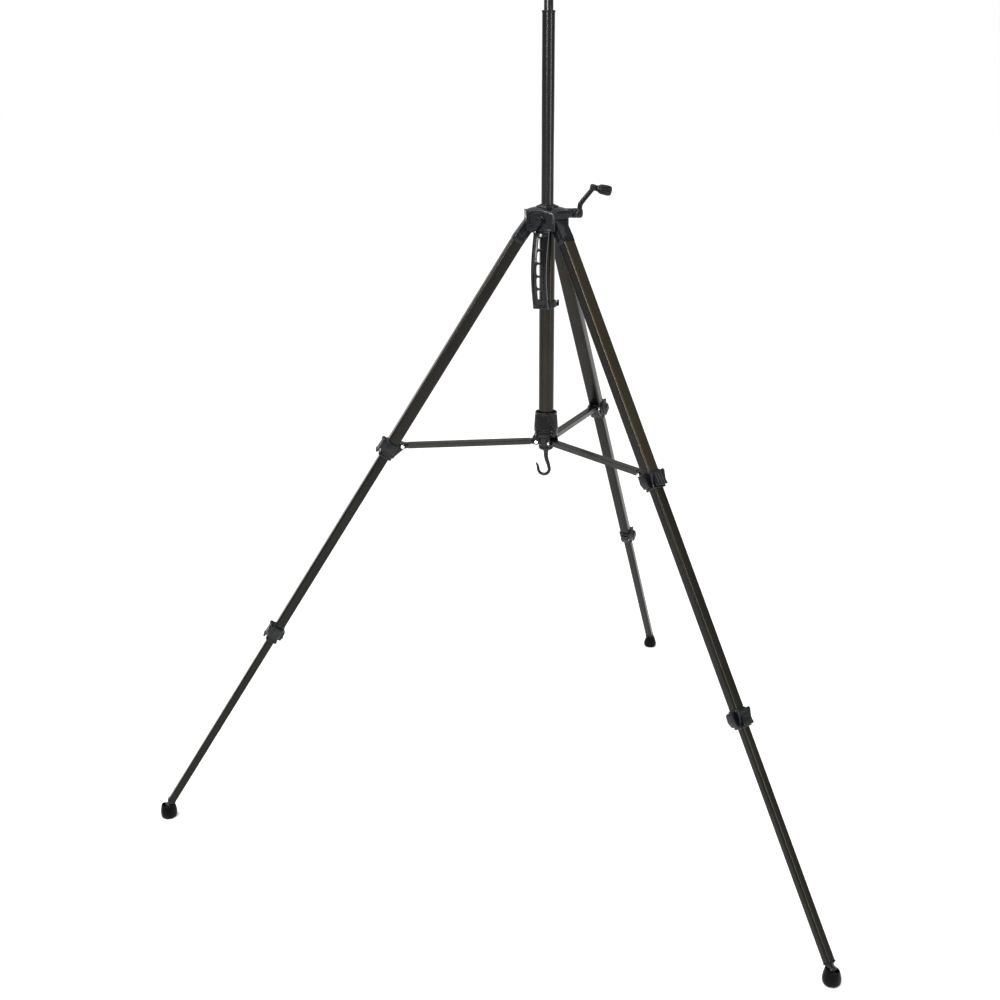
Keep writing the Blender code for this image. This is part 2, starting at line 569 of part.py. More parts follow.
def column():
    """The column with its rack and end bush, and the mast that slides in it."""
    inner = COLUMN_R - COLUMN_WALL
    tube = turned([(inner, COLUMN_TOP), (COLUMN_R, COLUMN_TOP), (COLUMN_R, COLUMN_BOTTOM),
                   (inner, COLUMN_BOTTOM)], 32)
    slot = box((9.2 * MM - GAP, -RACK_HALF - GAP, COLUMN_BOTTOM - MM),
               (14 * MM, RACK_HALF + GAP, RACK_TOP + GAP))
    slot.data.transform(Matrix.Rotation(radians(RACK_AZIMUTH), 4, "Z"))
    place("column", cut(tube, slot), "anodised_tube", axis)

    pitch = pi * MODULE
    slope = tan(PRESSURE)
    half_tip = pitch / 4 - TOOTH_PLAY / 2 - ADDENDUM * slope
    half_root = pitch / 4 - TOOTH_PLAY / 2 + DEDENDUM * slope
    root, tip = RACK_PITCH_LINE - DEDENDUM, RACK_PITCH_LINE + ADDENDUM
    outline = [(9.2 * MM, RACK_TOP), (9.2 * MM, RACK_BOTTOM), (root, RACK_BOTTOM)]
    first = -int((SHAFT_Z - RACK_BOTTOM) / pitch)
    last = int((RACK_TOP - SHAFT_Z) / pitch)
    for tooth in range(first, last):
        z = SHAFT_Z + (tooth + 0.5) * pitch
        outline += [(root, z - half_root), (tip, z - half_tip), (tip, z + half_tip), (root, z + half_root)]
    outline.append((root, RACK_TOP))
    rack = slab(outline, 2 * RACK_HALF)
    rack.data.transform(Matrix.Rotation(radians(RACK_AZIMUTH), 4, "Z"))
    place("column_rack", rack, "steel", axis)

    bush = turned([(8.3 * MM, 1500.2 * MM), (11.2 * MM, 1500.2 * MM), (11.75 * MM, 1499.6 * MM),
                   (11.75 * MM, COLUMN_TOP + GAP), (inner - GAP, COLUMN_TOP + GAP), (inner - GAP, 1477 * MM),
                   (8.3 * MM, 1477 * MM)], 28)
    place("column_bush", bush, "moulded_plastic", axis)

    bore = MAST_R - MAST_WALL
    mast = turned([(bore, MAST_TOP), (MAST_R, MAST_TOP), (MAST_R, MAST_BOTTOM), (bore, MAST_BOTTOM)], 32)
    place("inner_mast", mast, "mast_gloss", axis)
    seat = MAST_TOP + 6 * MM
    plug = turned([(0, seat + 12 * MM), (4 * MM, seat + 12 * MM), (4.75 * MM, seat + 11.2 * MM),
                   (4.75 * MM, seat), (15 * MM, seat), (16 * MM, seat - MM), (16 * MM, MAST_TOP + 1.3 * MM),
                   (15 * MM, MAST_TOP + GAP), (bore - GAP, MAST_TOP + GAP), (bore - GAP, MAST_TOP - 18 * MM),
                   (0, MAST_TOP - 18 * MM)], 32)
    place("mast_plug", plug, "moulded_plastic", axis)


def pinion_outline():
    """Involute teeth, with one tooth pointing along +X."""
    base_r = PINION_PITCH_R * cos(PRESSURE)
    tip_r, root_r = PINION_PITCH_R + ADDENDUM, PINION_PITCH_R - DEDENDUM
    pitch_half = (pi * MODULE / 2 - TOOTH_PLAY) / (2 * PINION_PITCH_R)

    def half_angle(radius):
        angle = acos(min(1.0, base_r / radius))
        return pitch_half + (tan(PRESSURE) - PRESSURE) - (tan(angle) - angle)

    flank_radii = (base_r, (base_r + tip_r) / 2, tip_r)
    flank = [(root_r, half_angle(base_r))] + [(r, half_angle(r)) for r in flank_radii]
    outline = []
    for tooth in range(PINION_TEETH):
        middle = 2 * pi * tooth / PINION_TEETH
        for r, a in flank:
            outline.append((r * cos(middle - a), r * sin(middle - a)))
        for r, a in reversed(flank):
            outline.append((r * cos(middle + a), r * sin(middle + a)))
    return outline


def crank():
    """The pinion on its shaft, the bent arm and its knob, built along +Z and laid on the shaft's line."""
    frame = empty("crank_axis", at(CRANK_AZIMUTH, 0, SHAFT_Z, SHAFT_OFFSET), (0, 90, CRANK_AZIMUTH), axis)
    pinion = plate([(x * cos(-pi / 2) - y * sin(-pi / 2), x * sin(-pi / 2) + y * cos(-pi / 2))
                    for x, y in pinion_outline()], -3 * MM, 3 * MM)
    join(pinion, rod((0, 0, -9.5 * MM), (0, 0, 62 * MM), SHAFT_R))
    place("pinion_shaft", pinion, "steel", frame)

    rise, start, finish = 45 * MM, 60 * MM, 86 * MM
    tilt = radians(KNOB_TILT)
    outward = Vector((sin(tilt), 0, cos(tilt)))
    top = Vector((-rise, 0, finish))
    boss = rod((0, 0, 48.4 * MM), (0, 0, 66 * MM), 9 * MM)
    arm = rod((-4 * MM, 0, start), (-rise + 2 * MM, 0, finish), 4.3 * MM)
    join(boss, arm, rod(top - outward * 6 * MM, top + outward * 5 * MM, 6 * MM),
         rod(top, top + outward * 27 * MM, 2.5 * MM, segments=12))
    cut(boss, rod((0, 0, 46 * MM), (0, 0, 62.5 * MM), SHAFT_R + GAP))
    place("crank_arm", boss, "moulded_plastic", frame)

    knob_frame = empty("crank_knob_axis", top + outward * 5.4 * MM, (0, KNOB_TILT, 0), frame)
    knob = turned([(0, 28 * MM), (7 * MM, 28 * MM), (8.8 * MM, 26 * MM), (9.2 * MM, 16 * MM),
                   (8.4 * MM, 7 * MM),
                   (6 * MM, 4 * MM), (5.4 * MM, 0), (2.8 * MM, 0), (2.8 * MM, 22.4 * MM), (0, 22.4 * MM)], 32)
    place("crank_knob", knob, "moulded_plastic", knob_frame)


def lock_knob():
    """The column lock on the panel above the handle: a wing knob on a threaded shank."""
    frame = empty("lock_axis", at(-90, 0, 1149 * MM), (0, 0, -90), axis)
    shank = rod((11.9 * MM, 0, 0), (38 * MM, 0, 0), 4 * MM, segments=20)
    cap = rod((37.4 * MM, 0, 0), (46 * MM, 0, 0), 7.5 * MM, 6.3 * MM)
    wing = plate(hull((0, 0, 6 * MM), (-8 * MM, -16.5 * MM, 3.8 * MM)), 39 * MM, 44.5 * MM)
    wing.data.transform(Matrix(((0, 0, 1, 0), (1, 0, 0, 0), (0, 1, 0, 0), (0, 0, 0, 1))))
    place("lock_knob", join(shank, cap, wing), "moulded_plastic", frame)


def handle():
    """The carrying handle: a bowed strap with raised edges and five slots, and the clip at its foot."""
    frame = empty("handle_frame", (0, 0, 0), (0, 0, -90), axis)
    steps = 14
    span = HANDLE_TOP - HANDLE_BOTTOM

    def bow(share, skin):
        """A point on the strap's side view, skin outside its inner face."""
        z = HANDLE_BOTTOM + span * share
        middle = (27 + 11 * sin(pi * min(max(share * 1.08 - 0.03, 0), 1))) * MM
        return middle + skin, z

    shares = [i / steps for i in range(steps + 1)]
    strap = plate([bow(s, 0) for s in shares] + [bow(s, 6 * MM) for s in reversed(shares)],
                  -HANDLE_W / 2, HANDLE_W / 2, plane="XZ")
    inner_shares = [0.05 + 0.9 * s for s in shares]
    recess = plate([bow(s, 3.2 * MM) for s in inner_shares]
                   + [bow(s, 9 * MM) for s in reversed(inner_shares)],
                   -HANDLE_W / 2 + 3.6 * MM, HANDLE_W / 2 - 3.6 * MM, plane="XZ")
    cut(strap, recess)
    for number in range(5):
        z = (1108 - 23 * number) * MM
        window = box((20 * MM, -3.3 * MM, z - 6 * MM), (60 * MM, 3.3 * MM, z + 6 * MM))
        join(window, *[rod((20 * MM, 0, z + end), (60 * MM, 0, z + end), 3.3 * MM, segments=12)
                       for end in (-6 * MM, 6 * MM)])
        cut(strap, window)
    join(strap, box((16 * MM, -11 * MM, HANDLE_TOP - 4 * MM), (30 * MM, 11 * MM, CROWN_BOTTOM - GAP)),
         box((19.5 * MM, -8 * MM, HANDLE_BOTTOM), (30 * MM, 8 * MM, HANDLE_BOTTOM + 8 * MM)))
    place("handle", strap, "moulded_plastic", frame)

    clip = turned([(GUIDE_R + GAP, HANDLE_BOTTOM + 12 * MM), (18 * MM, HANDLE_BOTTOM + 12 * MM),
                   (18 * MM, HANDLE_BOTTOM), (GUIDE_R + GAP, HANDLE_BOTTOM)], 32)
    horn = plate(hull((16.5 * MM, 0, 2.4 * MM), (20.6 * MM, 0, 2.4 * MM)),
                 HANDLE_BOTTOM + 2 * MM, HANDLE_BOTTOM + 9 * MM)
    horn.data.transform(Matrix.Rotation(radians(25), 4, "Z"))
    tab = box((16 * MM, -6 * MM, HANDLE_BOTTOM), (19.2 * MM, 6 * MM, HANDLE_BOTTOM + 12 * MM))
    tab.data.transform(Matrix.Rotation(radians(-90), 4, "Z"))
    join(clip, horn, tab)
    cut(clip, rod((0, 0, 900 * MM), (0, 0, 1100 * MM), GUIDE_R + GAP, segments=32))
    place("handle_clip", clip, "moulded_plastic", axis)


crown()
hinge_pins()
legs()
pivot, half_width = clamp("upper_clamp", UPPER_CLAMP, UPPER, MIDDLE, hinges, with_clevis=True)
levers("upper_lever", UPPER_CLAMP, pivot, half_width)
pivot, half_width = clamp("lower_clamp", LOWER_CLAMP, MIDDLE, LOWER, hinges, with_clevis=False)
levers("lower_lever", LOWER_CLAMP, pivot, half_width)
struts()
hub()
guide()
column()
crank()
lock_knob()
handle()
bpy.context.view_layer.update()
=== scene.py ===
"""The visual model of the field tripod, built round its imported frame.

Shapes are in millimetres until they are shown.
"""

from math import cos, hypot, pi, radians, sin

import bmesh
import bpy
from mathutils import Matrix, Vector


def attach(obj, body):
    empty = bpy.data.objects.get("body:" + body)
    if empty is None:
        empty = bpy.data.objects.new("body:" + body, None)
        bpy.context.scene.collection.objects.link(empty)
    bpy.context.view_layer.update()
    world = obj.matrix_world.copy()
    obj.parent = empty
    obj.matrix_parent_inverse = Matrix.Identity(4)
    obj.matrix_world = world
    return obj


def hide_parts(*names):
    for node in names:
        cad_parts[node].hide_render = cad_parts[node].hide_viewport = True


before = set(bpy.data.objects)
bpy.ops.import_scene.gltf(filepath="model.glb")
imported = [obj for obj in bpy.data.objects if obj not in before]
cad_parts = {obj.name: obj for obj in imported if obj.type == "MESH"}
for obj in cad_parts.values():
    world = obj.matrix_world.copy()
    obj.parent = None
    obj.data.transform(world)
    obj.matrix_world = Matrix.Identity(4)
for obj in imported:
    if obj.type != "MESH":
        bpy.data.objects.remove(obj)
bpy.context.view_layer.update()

# The frame's dimensions
LEG_AZIMUTHS = (-150.0, -30.0, 90.0)
SPLAY = 32.3
FOOT_CIRCLE, FOOT_PIVOT_Z = 741.6, 24.4
AXIS_Y = -FOOT_CIRCLE / 4
HINGE_R, HINGE_Z = 32.0, 1140.0
LEG_OFFSET = 3.1
UPPER, MIDDLE, LOWER = (25.0, 22.0), (21.0, 18.2), (17.4, 14.8)
WALL = 1.2
UPPER_CLAMP, LOWER_CLAMP, CLAMP_LENGTH = 469.0, 889.0, 32.0
LUG_DOWN_LEG, LUG_INSIDE = 466.0, 14.9
STRUT_R, STRUT_Z = 20.0, 738.15
CROWN_BOTTOM, CROWN_TOP = 1130.0, 1174.5
SHAFT_Z, SHAFT_OFFSET = 1157.0, 17.45
HANDLE_TOP, HANDLE_BOTTOM = 1127.0, 991.0
HUB_LOW, HUB_HIGH, NUT_BOTTOM, NUT_TOP = 747.5, 756.5, 757.0, 795.0
LEVER_OUT = 5.3  # a lever's pivot outside its tube's face
KNOB_TILT = 12.0  # the crank's knob points this much downwards

slant = radians(SPLAY)
LUG_R = HINGE_R + LUG_DOWN_LEG * sin(slant) - LUG_INSIDE * cos(slant)
STRUT_LENGTH = LUG_R - STRUT_R
STRUT_SEAM = STRUT_LENGTH - 100.5
LEG_LENGTH = hypot(FOOT_CIRCLE - HINGE_R - LEG_OFFSET * cos(slant),
                   HINGE_Z + LEG_OFFSET * sin(slant) - FOOT_PIVOT_Z)
LOWER_TUBE_END = LEG_LENGTH - 14  # its distance down the leg from the hinge
UPPER_TUBE_END, MIDDLE_TUBE_END = 483.3, 903.3
GUIDE_TOP, GUIDE_BOTTOM, GUIDE_BORE, GUIDE_R = 1143.5, 734.5, 12.8, 14
LOCK_Z = 1149
CRANK_AZIMUTH, CRANK_RISE, CRANK_REACH = 30, 45.0, 86
COLUMN_TOP, COLUMN_BOTTOM = 1496, 1060
MAST_TOP, MAST_BOTTOM = 1585, 1135


# Finishes

def finish(name, base, alt, roughness, spread=0.08, metallic=0.0, specular=0.5, grain=2500.0, bump=0.1,
           depth=0.00003, stretch=(1, 1, 1), edge_wear_and_highlight=None, outer=None, blotch=14.0):
    """A procedural material: two tones in blotches, fine grain in roughness and bump, and on its edges a
    lighter tone that is partly wear and partly a painted highlight.

    outer is a third tone for the side that faces along a piece's own +X: a painted warm reflection on that
    face.
    """
    made = bpy.data.materials.new(name)
    made.use_nodes = True
    tree = made.node_tree
    link = tree.links.new
    shader = tree.nodes["Principled BSDF"]
    shader.inputs["Metallic"].default_value = metallic
    shader.inputs["Specular IOR Level"].default_value = specular

    def node(kind, **values):
        one = tree.nodes.new(kind)
        for socket, value in values.items():
            one.inputs[socket.replace("_", " ")].default_value = value
        return one

    def spread_over(value, low, high, to_low, to_high):
        ranged = node("ShaderNodeMapRange", From_Min=low, From_Max=high, To_Min=to_low, To_Max=to_high)
        link(value, ranged.inputs["Value"])
        return ranged.outputs["Result"]

    def mixed(factor, one, other):
        mix = tree.nodes.new("ShaderNodeMix")
        mix.data_type = "RGBA"
        link(factor, mix.inputs["Factor"])
        for value, socket in ((one, mix.inputs[6]), (other, mix.inputs[7])):
            if isinstance(value, tuple):
                socket.default_value = (*value, 1)
            else:
                link(value, socket)
        return mix.outputs[2]

    place = tree.nodes.new("ShaderNodeTexCoord")
    mapping = node("ShaderNodeMapping", Scale=stretch)
    link(place.outputs["Object"], mapping.inputs["Vector"])
    blotches = node("ShaderNodeTexNoise", Scale=blotch, Detail=4.0, Roughness=0.6)
    link(place.outputs["Object"], blotches.inputs["Vector"])
    fine = node("ShaderNodeTexNoise", Scale=grain, Detail=3.0, Roughness=0.6)
    link(mapping.outputs["Vector"], fine.inputs["Vector"])

    colour = mixed(spread_over(blotches.outputs["Fac"], 0.35, 0.65, 0, 1), base, alt)
    # The outer tone is a painted warm reflection, laid on the faces that look along +X.
    if outer:
        painted_reflection_side = tree.nodes.new("ShaderNodeSeparateXYZ")
        link(place.outputs["Normal"], painted_reflection_side.inputs["Vector"])
        colour = mixed(spread_over(painted_reflection_side.outputs["X"], 0.55, 0.95, 0, 1), colour, outer)
    colour = mixed(spread_over(fine.outputs["Fac"], 0.3, 0.7, 0, 0.35), colour, alt)
    # Sharp edges turn lighter where the noise allows: partly wear, partly a painted edge highlight.
    if edge_wear_and_highlight:
        shape = tree.nodes.new("ShaderNodeNewGeometry")
        scuff_and_highlight_noise = node("ShaderNodeTexNoise", Scale=260.0, Detail=5.0, Roughness=0.7)
        link(place.outputs["Object"], scuff_and_highlight_noise.inputs["Vector"])
        edge = tree.nodes.new("ShaderNodeMath")
        edge.operation = "MULTIPLY"
        link(spread_over(shape.outputs["Pointiness"], 0.53, 0.62, 0, 1), edge.inputs[0])
        link(spread_over(scuff_and_highlight_noise.outputs["Fac"], 0.42, 0.62, 0, 0.8), edge.inputs[1])
        colour = mixed(edge.outputs["Value"], colour, edge_wear_and_highlight)
    link(colour, shader.inputs["Base Color"])

    rough = tree.nodes.new("ShaderNodeMath")
    rough.operation = "ADD"
    link(spread_over(fine.outputs["Fac"], 0.3, 0.7, roughness - spread / 2, roughness + spread / 2),
         rough.inputs[0])
    link(spread_over(blotches.outputs["Fac"], 0.3, 0.7, -spread / 2, spread / 2), rough.inputs[1])
    link(rough.outputs["Value"], shader.inputs["Roughness"])
    relief = node("ShaderNodeBump", Strength=bump, Distance=depth)
    link(fine.outputs["Fac"], relief.inputs["Height"])
    link(relief.outputs["Normal"], shader.inputs["Normal"])
    return made


ALONG = (1, 1, 0.03)  # drawing lines that run down a tube
# The outer tones on the leg tubes paint a warm reflection onto their outward faces.
TUBE = finish("tube_anodised", (0.0155, 0.0150, 0.0138), (0.0205, 0.0190, 0.0165), 0.26, 0.08, 0.9, 0.4, 900,
              0.025, stretch=ALONG, outer=(0.064, 0.053, 0.034), blotch=9)
INNER_TUBE = finish("tube_anodised_dark", (0.0115, 0.0118, 0.0108), (0.0155, 0.0152, 0.0132), 0.26, 0.08, 0.9,
                    0.4, 900, 0.025, stretch=ALONG, outer=(0.030, 0.0285, 0.0215), blotch=9)
GUIDE = finish("guide_anodised", (0.023, 0.021, 0.018), (0.029, 0.026, 0.021), 0.26, 0.08, 0.9, 0.4, 900,
               0.03, stretch=ALONG, blotch=11)
COLUMN = finish("column_anodised", (0.024, 0.023, 0.024), (0.029, 0.028, 0.028), 0.24, 0.06, 0.9, 0.4, 900,
                0.012, stretch=ALONG, blotch=11)
MAST = finish("mast_gloss", (0.003, 0.003, 0.004), (0.005, 0.005, 0.006), 0.12, 0.05, 0.0, 0.5, 900, 0.03,
              stretch=(1, 1, 0.05))
# The edge tones of the plastics, rubber and hook are partly wear and partly a painted edge highlight.
PLASTIC = finish("moulded_black", (0.0020, 0.0028, 0.0038), (0.0027, 0.0035, 0.0046), 0.20, 0.06, 0.0, 0.24,
                 1100, 0.05, edge_wear_and_highlight=(0.010, 0.012, 0.014), blotch=30)
GRIP = finish("grip_black", (0.0016, 0.0019, 0.0024), (0.0024, 0.0028, 0.0034), 0.25, 0.10, 0.0, 0.20, 1000,
              0.10, edge_wear_and_highlight=(0.016, 0.018, 0.020), blotch=40)
RUBBER = finish("foot_rubber_black", (0.0010, 0.0011, 0.0012), (0.0018, 0.0018, 0.0019), 0.36, 0.12, 0.0,
                0.07, 900, 0.20, depth=0.00006, edge_wear_and_highlight=(0.02, 0.02, 0.02), blotch=60)
STRUT = finish("strut_grey", (0.036, 0.035, 0.033), (0.046, 0.0445, 0.0415), 0.30, 0.10, 0.9, 0.4, 900, 0.08,
               stretch=(0.03, 1, 1), blotch=20)
HOOK = finish("hook_dark", (0.014, 0.014, 0.015), (0.021, 0.020, 0.020), 0.30, 0.10, 0.8, 0.4, 1000, 0.12,
              edge_wear_and_highlight=(0.12, 0.12, 0.12), blotch=60)
NICKEL = finish("nickel_bright", (0.86, 0.85, 0.83), (0.74, 0.73, 0.71), 0.16, 0.10, 1.0, 0.5, 1500, 0.08,
                blotch=90)
STEEL = finish("steel_turned", (0.30, 0.30, 0.31), (0.38, 0.38, 0.38), 0.32, 0.12, 1.0, 0.5, 1500, 0.2,
               blotch=60)


# Shapes

def from_bmesh(bm):
    mesh = bpy.data.meshes.new("shape")
    bm.to_mesh(mesh)
    bm.free()
    made = bpy.data.objects.new("shape", mesh)
    bpy.context.scene.collection.objects.link(made)
    return made


def evaluated_mesh(source):
    bpy.context.view_layer.update()
    return bpy.data.meshes.new_from_object(source.evaluated_get(bpy.context.evaluated_depsgraph_get()))


def moved(shape, matrix):
    shape.data.transform(matrix)
    if matrix.determinant() < 0:
        shape.data.flip_normals()
    return shape


def spun(shape, angle):
    """Turned about Z, in degrees."""
    return moved(shape, Matrix.Rotation(radians(angle), 4, "Z"))


def box(low, high):
    bm = bmesh.new()
    bmesh.ops.create_cube(bm, size=1)
    low, high = Vector(low), Vector(high)
    bm.transform(Matrix.Translation((low + high) / 2) @ Matrix.Diagonal((*(high - low), 1)))
    return from_bmesh(bm)


def rod(start, end, radius, end_radius=None, segments=32):
    start, end = Vector(start), Vector(end)
    along = end - start
    bm = bmesh.new()
    bmesh.ops.create_cone(bm, cap_ends=True, segments=segments, radius1=radius,
                          radius2=radius if end_radius is None else end_radius, depth=along.length)
    bm.transform(Matrix.Translation((start + end) / 2) @ along.to_track_quat("Z", "Y").to_matrix().to_4x4())
    return from_bmesh(bm)


def lathe(profile, segments=64):
    """Turns a profile of (r, z) about Z. One that starts off the axis is closed into a ring."""
    bm = bmesh.new()
    row = [bm.verts.new((r, 0, z)) for r, z in profile]
    edges = [bm.edges.new(pair) for pair in zip(row, row[1:])]
    if profile[0][0] > 0:
        edges.append(bm.edges.new((row[-1], row[0])))
    bmesh.ops.spin(bm, geom=row + edges, cent=(0, 0, 0), axis=(0, 0, 1), angle=2 * pi, steps=segments,
                   use_merge=True)
    bmesh.ops.remove_doubles(bm, verts=bm.verts, dist=0.0005)
    bmesh.ops.recalc_face_normals(bm, faces=bm.faces)
    return from_bmesh(bm)


def prism(outline, low, high, plane="XY"):
    """A flat outline made thick along Z, or along Y for one in the XZ plane."""
    bm = bmesh.new()
    face = bm.faces.new([bm.verts.new((x, y, low)) for x, y in outline])
    grown = bmesh.ops.extrude_face_region(bm, geom=[face])
    for vert in grown["geom"]:
        if isinstance(vert, bmesh.types.BMVert):
            vert.co.z = high
    if plane == "XZ":
        bm.transform(Matrix(((1, 0, 0, 0), (0, 0, 1, 0), (0, 1, 0, 0), (0, 0, 0, 1))))
    bmesh.ops.recalc_face_normals(bm, faces=bm.faces)
    return from_bmesh(bm)


def loft(rings, loop=False):
    """Skins equal rings of points. A loop joins the last to the first. Otherwise both ends are capped."""
    bm = bmesh.new()
    rows = [[bm.verts.new(p) for p in ring] for ring in rings]
    count = len(rows[0])
    for a, b in list(zip(rows, rows[1:])) + ([(rows[-1], rows[0])] if loop else []):
        for i in range(count):
            bm.faces.new((a[i], a[(i + 1) % count], b[(i + 1) % count], b[i]))
    if not loop:
        bm.faces.new(rows[0])
        bm.faces.new(rows[-1])
    bmesh.ops.recalc_face_normals(bm, faces=bm.faces)
    return from_bmesh(bm)


def sweep(path, sections, side=(0, 1, 0)):
    """Carries a section along a path that lies in the plane at right angles to side.

    A section's points are (along side, along the path's direction crossed with side).
    """
    path = [Vector(p) for p in path]
    across = Vector(side)
    rings = []
    for i, (point, section) in enumerate(zip(path, sections)):
        tangent = (path[min(i + 1, len(path) - 1)] - path[max(i - 1, 0)]).normalized()
        inward = tangent.cross(across).normalized()
        rings.append([point + across * u + inward * v for u, v in section])
    return loft(rings)


def arc(centre, radius, start, end, steps):
    turns = [radians(start + (end - start) * i / steps) for i in range(steps + 1)]
    return [(centre[0] + radius * cos(a), centre[1] + radius * sin(a)) for a in turns]


def rounded(depth, width, radius, centre_x=0.0, steps=7):
    x, y = depth / 2 - radius, width / 2 - radius
    corners = ((x, y, 0), (-x, y, 90), (-x, -y, 180), (x, -y, 270))
    return [p for cx, cy, a in corners for p in arc((cx + centre_x, cy), radius, a, a + 90, steps)]


def hull(*circles, steps=36):
    """The tight outline round a few circles, each (x, y, radius)."""
    last_turn = 360 * (steps - 1) / steps
    points = sorted({p for x, y, r in circles for p in arc((x, y), r, 0, last_turn, steps - 1)})

    def half(row):
        out = []
        for p in row:
            while len(out) > 1 and ((out[-1][0] - out[-2][0]) * (p[1] - out[-2][1])
                                    - (out[-1][1] - out[-2][1]) * (p[0] - out[-2][0])) <= 1e-7:
                out.pop()
            out.append(p)
        return out[:-1]

    return half(points) + half(points[::-1])


def smooth(points, rounds=2):
    """Rounds an open line by cutting its corners, keeping both ends."""
    for _ in range(rounds):
        cut_line = [points[0]]
        for a, b in zip(points, points[1:]):
            for share in (0.75, 0.25):
                cut_line.append(tuple(share * p + (1 - share) * q for p, q in zip(a, b)))
        points = cut_line + [points[-1]]
    return points


def combine(base, operation, tools):
    for tool in tools:
        step = base.modifiers.new("step", "BOOLEAN")
        step.operation = operation
        step.object = tool
        bm = bmesh.new()
        bm.from_mesh(evaluated_mesh(base))
        bmesh.ops.holes_fill(bm, edges=[edge for edge in bm.edges if edge.is_boundary], sides=4)
        base.modifiers.clear()
        bm.to_mesh(base.data)
        bm.free()
        bpy.data.objects.remove(tool, do_unlink=True)
    return base


def cut(base, *tools):
    return combine(base, "DIFFERENCE", tools)


def join(base, *tools):
    return combine(base, "UNION", tools)


def softened(shape, width, segments=2, angle=35):
    """Rounds a shape's sharp edges."""
    bevel = shape.modifiers.new("edges", "BEVEL")
    bevel.width = width
    bevel.segments = segments
    bevel.limit_method = "ANGLE"
    bevel.angle_limit = radians(angle)
    bevel.use_clamp_overlap = True
    shape.data = evaluated_mesh(shape)
    shape.modifiers.clear()
    return shape


def show(name, shape, material, slot, *places, keep_angle=38):
    """Shows a finished shape at each place: (matrix, body, replaced nodes). A repeated piece is numbered."""
    mesh = shape.data
    mesh.transform(Matrix.Scale(0.001, 4))
    mesh.name = name
    mesh.materials.clear()
    mesh.materials.append(material)
    mesh.shade_smooth()
    mesh.set_sharp_from_angle(angle=radians(keep_angle))
    for number, (matrix, body, nodes) in enumerate(places, 1):
        piece = bpy.data.objects.new(f"{name}_{number}" if len(places) > 1 else name, mesh)
        bpy.context.scene.collection.objects.link(piece)
        piece.matrix_world = matrix
        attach(piece, body)
        if nodes:
            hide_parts(*nodes)
    bpy.data.objects.remove(shape, do_unlink=True)


# Places

# Turns a prism's outline into the YZ plane
UPRIGHT = Matrix(((0, 0, 1, 0), (1, 0, 0, 0), (0, 1, 0, 0), (0, 0, 0, 1)))


def at(azimuth, along, z=0.0, aside=0.0):
    """A point in millimetres from the tripod's axis."""
    a = radians(azimuth)
    return Vector((along * cos(a) - aside * sin(a), along * sin(a) + aside * cos(a), z))


def spot(point):
    """Where a point about the tripod's axis lies, as a matrix in metres."""
    return Matrix.Translation(Vector((point[0], point[1] + AXIS_Y, point[2])) * 0.001)


def heading(azimuth):
    return Matrix.Rotation(radians(azimuth), 4, "Z")


AXIS = spot((0, 0, 0))
HINGES = [spot(at(a, HINGE_R, HINGE_Z)) @ heading(a) @ Matrix.Rotation(-slant, 4, "Y") for a in LEG_AZIMUTHS]
FEET = [spot(at(a, FOOT_CIRCLE, FOOT_PIVOT_Z)) @ heading(a) for a in LEG_AZIMUTHS]
INNER = [spot(at(a, STRUT_R, STRUT_Z)) @ heading(a) for a in LEG_AZIMUTHS]
OUTER = [m @ Matrix.Translation(Vector((-LUG_INSIDE, 0, -LUG_DOWN_LEG)) * 0.001)
         @ Matrix.Rotation(slant, 4, "Y") for m in HINGES]
FACING = spot((0, 0, 0)) @ heading(-90)


def on_legs(matrices, body, *nodes):
    """The three places of a leg's piece. Names get the leg's number in place of a star."""
    return [(m, body.replace("*", str(k)), [n.replace("*", str(k)) for n in nodes])
            for k, m in enumerate(matrices, 1)]


# Legs

def leg_tube(size, start, end):
    """A drawn tube with its ends deburred."""
    outer = rounded(size[1], size[0], 3.6, LEG_OFFSET)
    eased = rounded(size[1] - 0.8, size[0] - 0.8, 3.2, LEG_OFFSET)
    inner = rounded(size[1] - 2 * WALL, size[0] - 2 * WALL, 2.4, LEG_OFFSET)
    levels = [(inner, start), (eased, start), (outer, start + 0.4), (outer, end - 0.4), (eased, end),
              (inner, end)]
    return loft([[(x, y, -s) for x, y in ring] for ring, s in levels], loop=True)


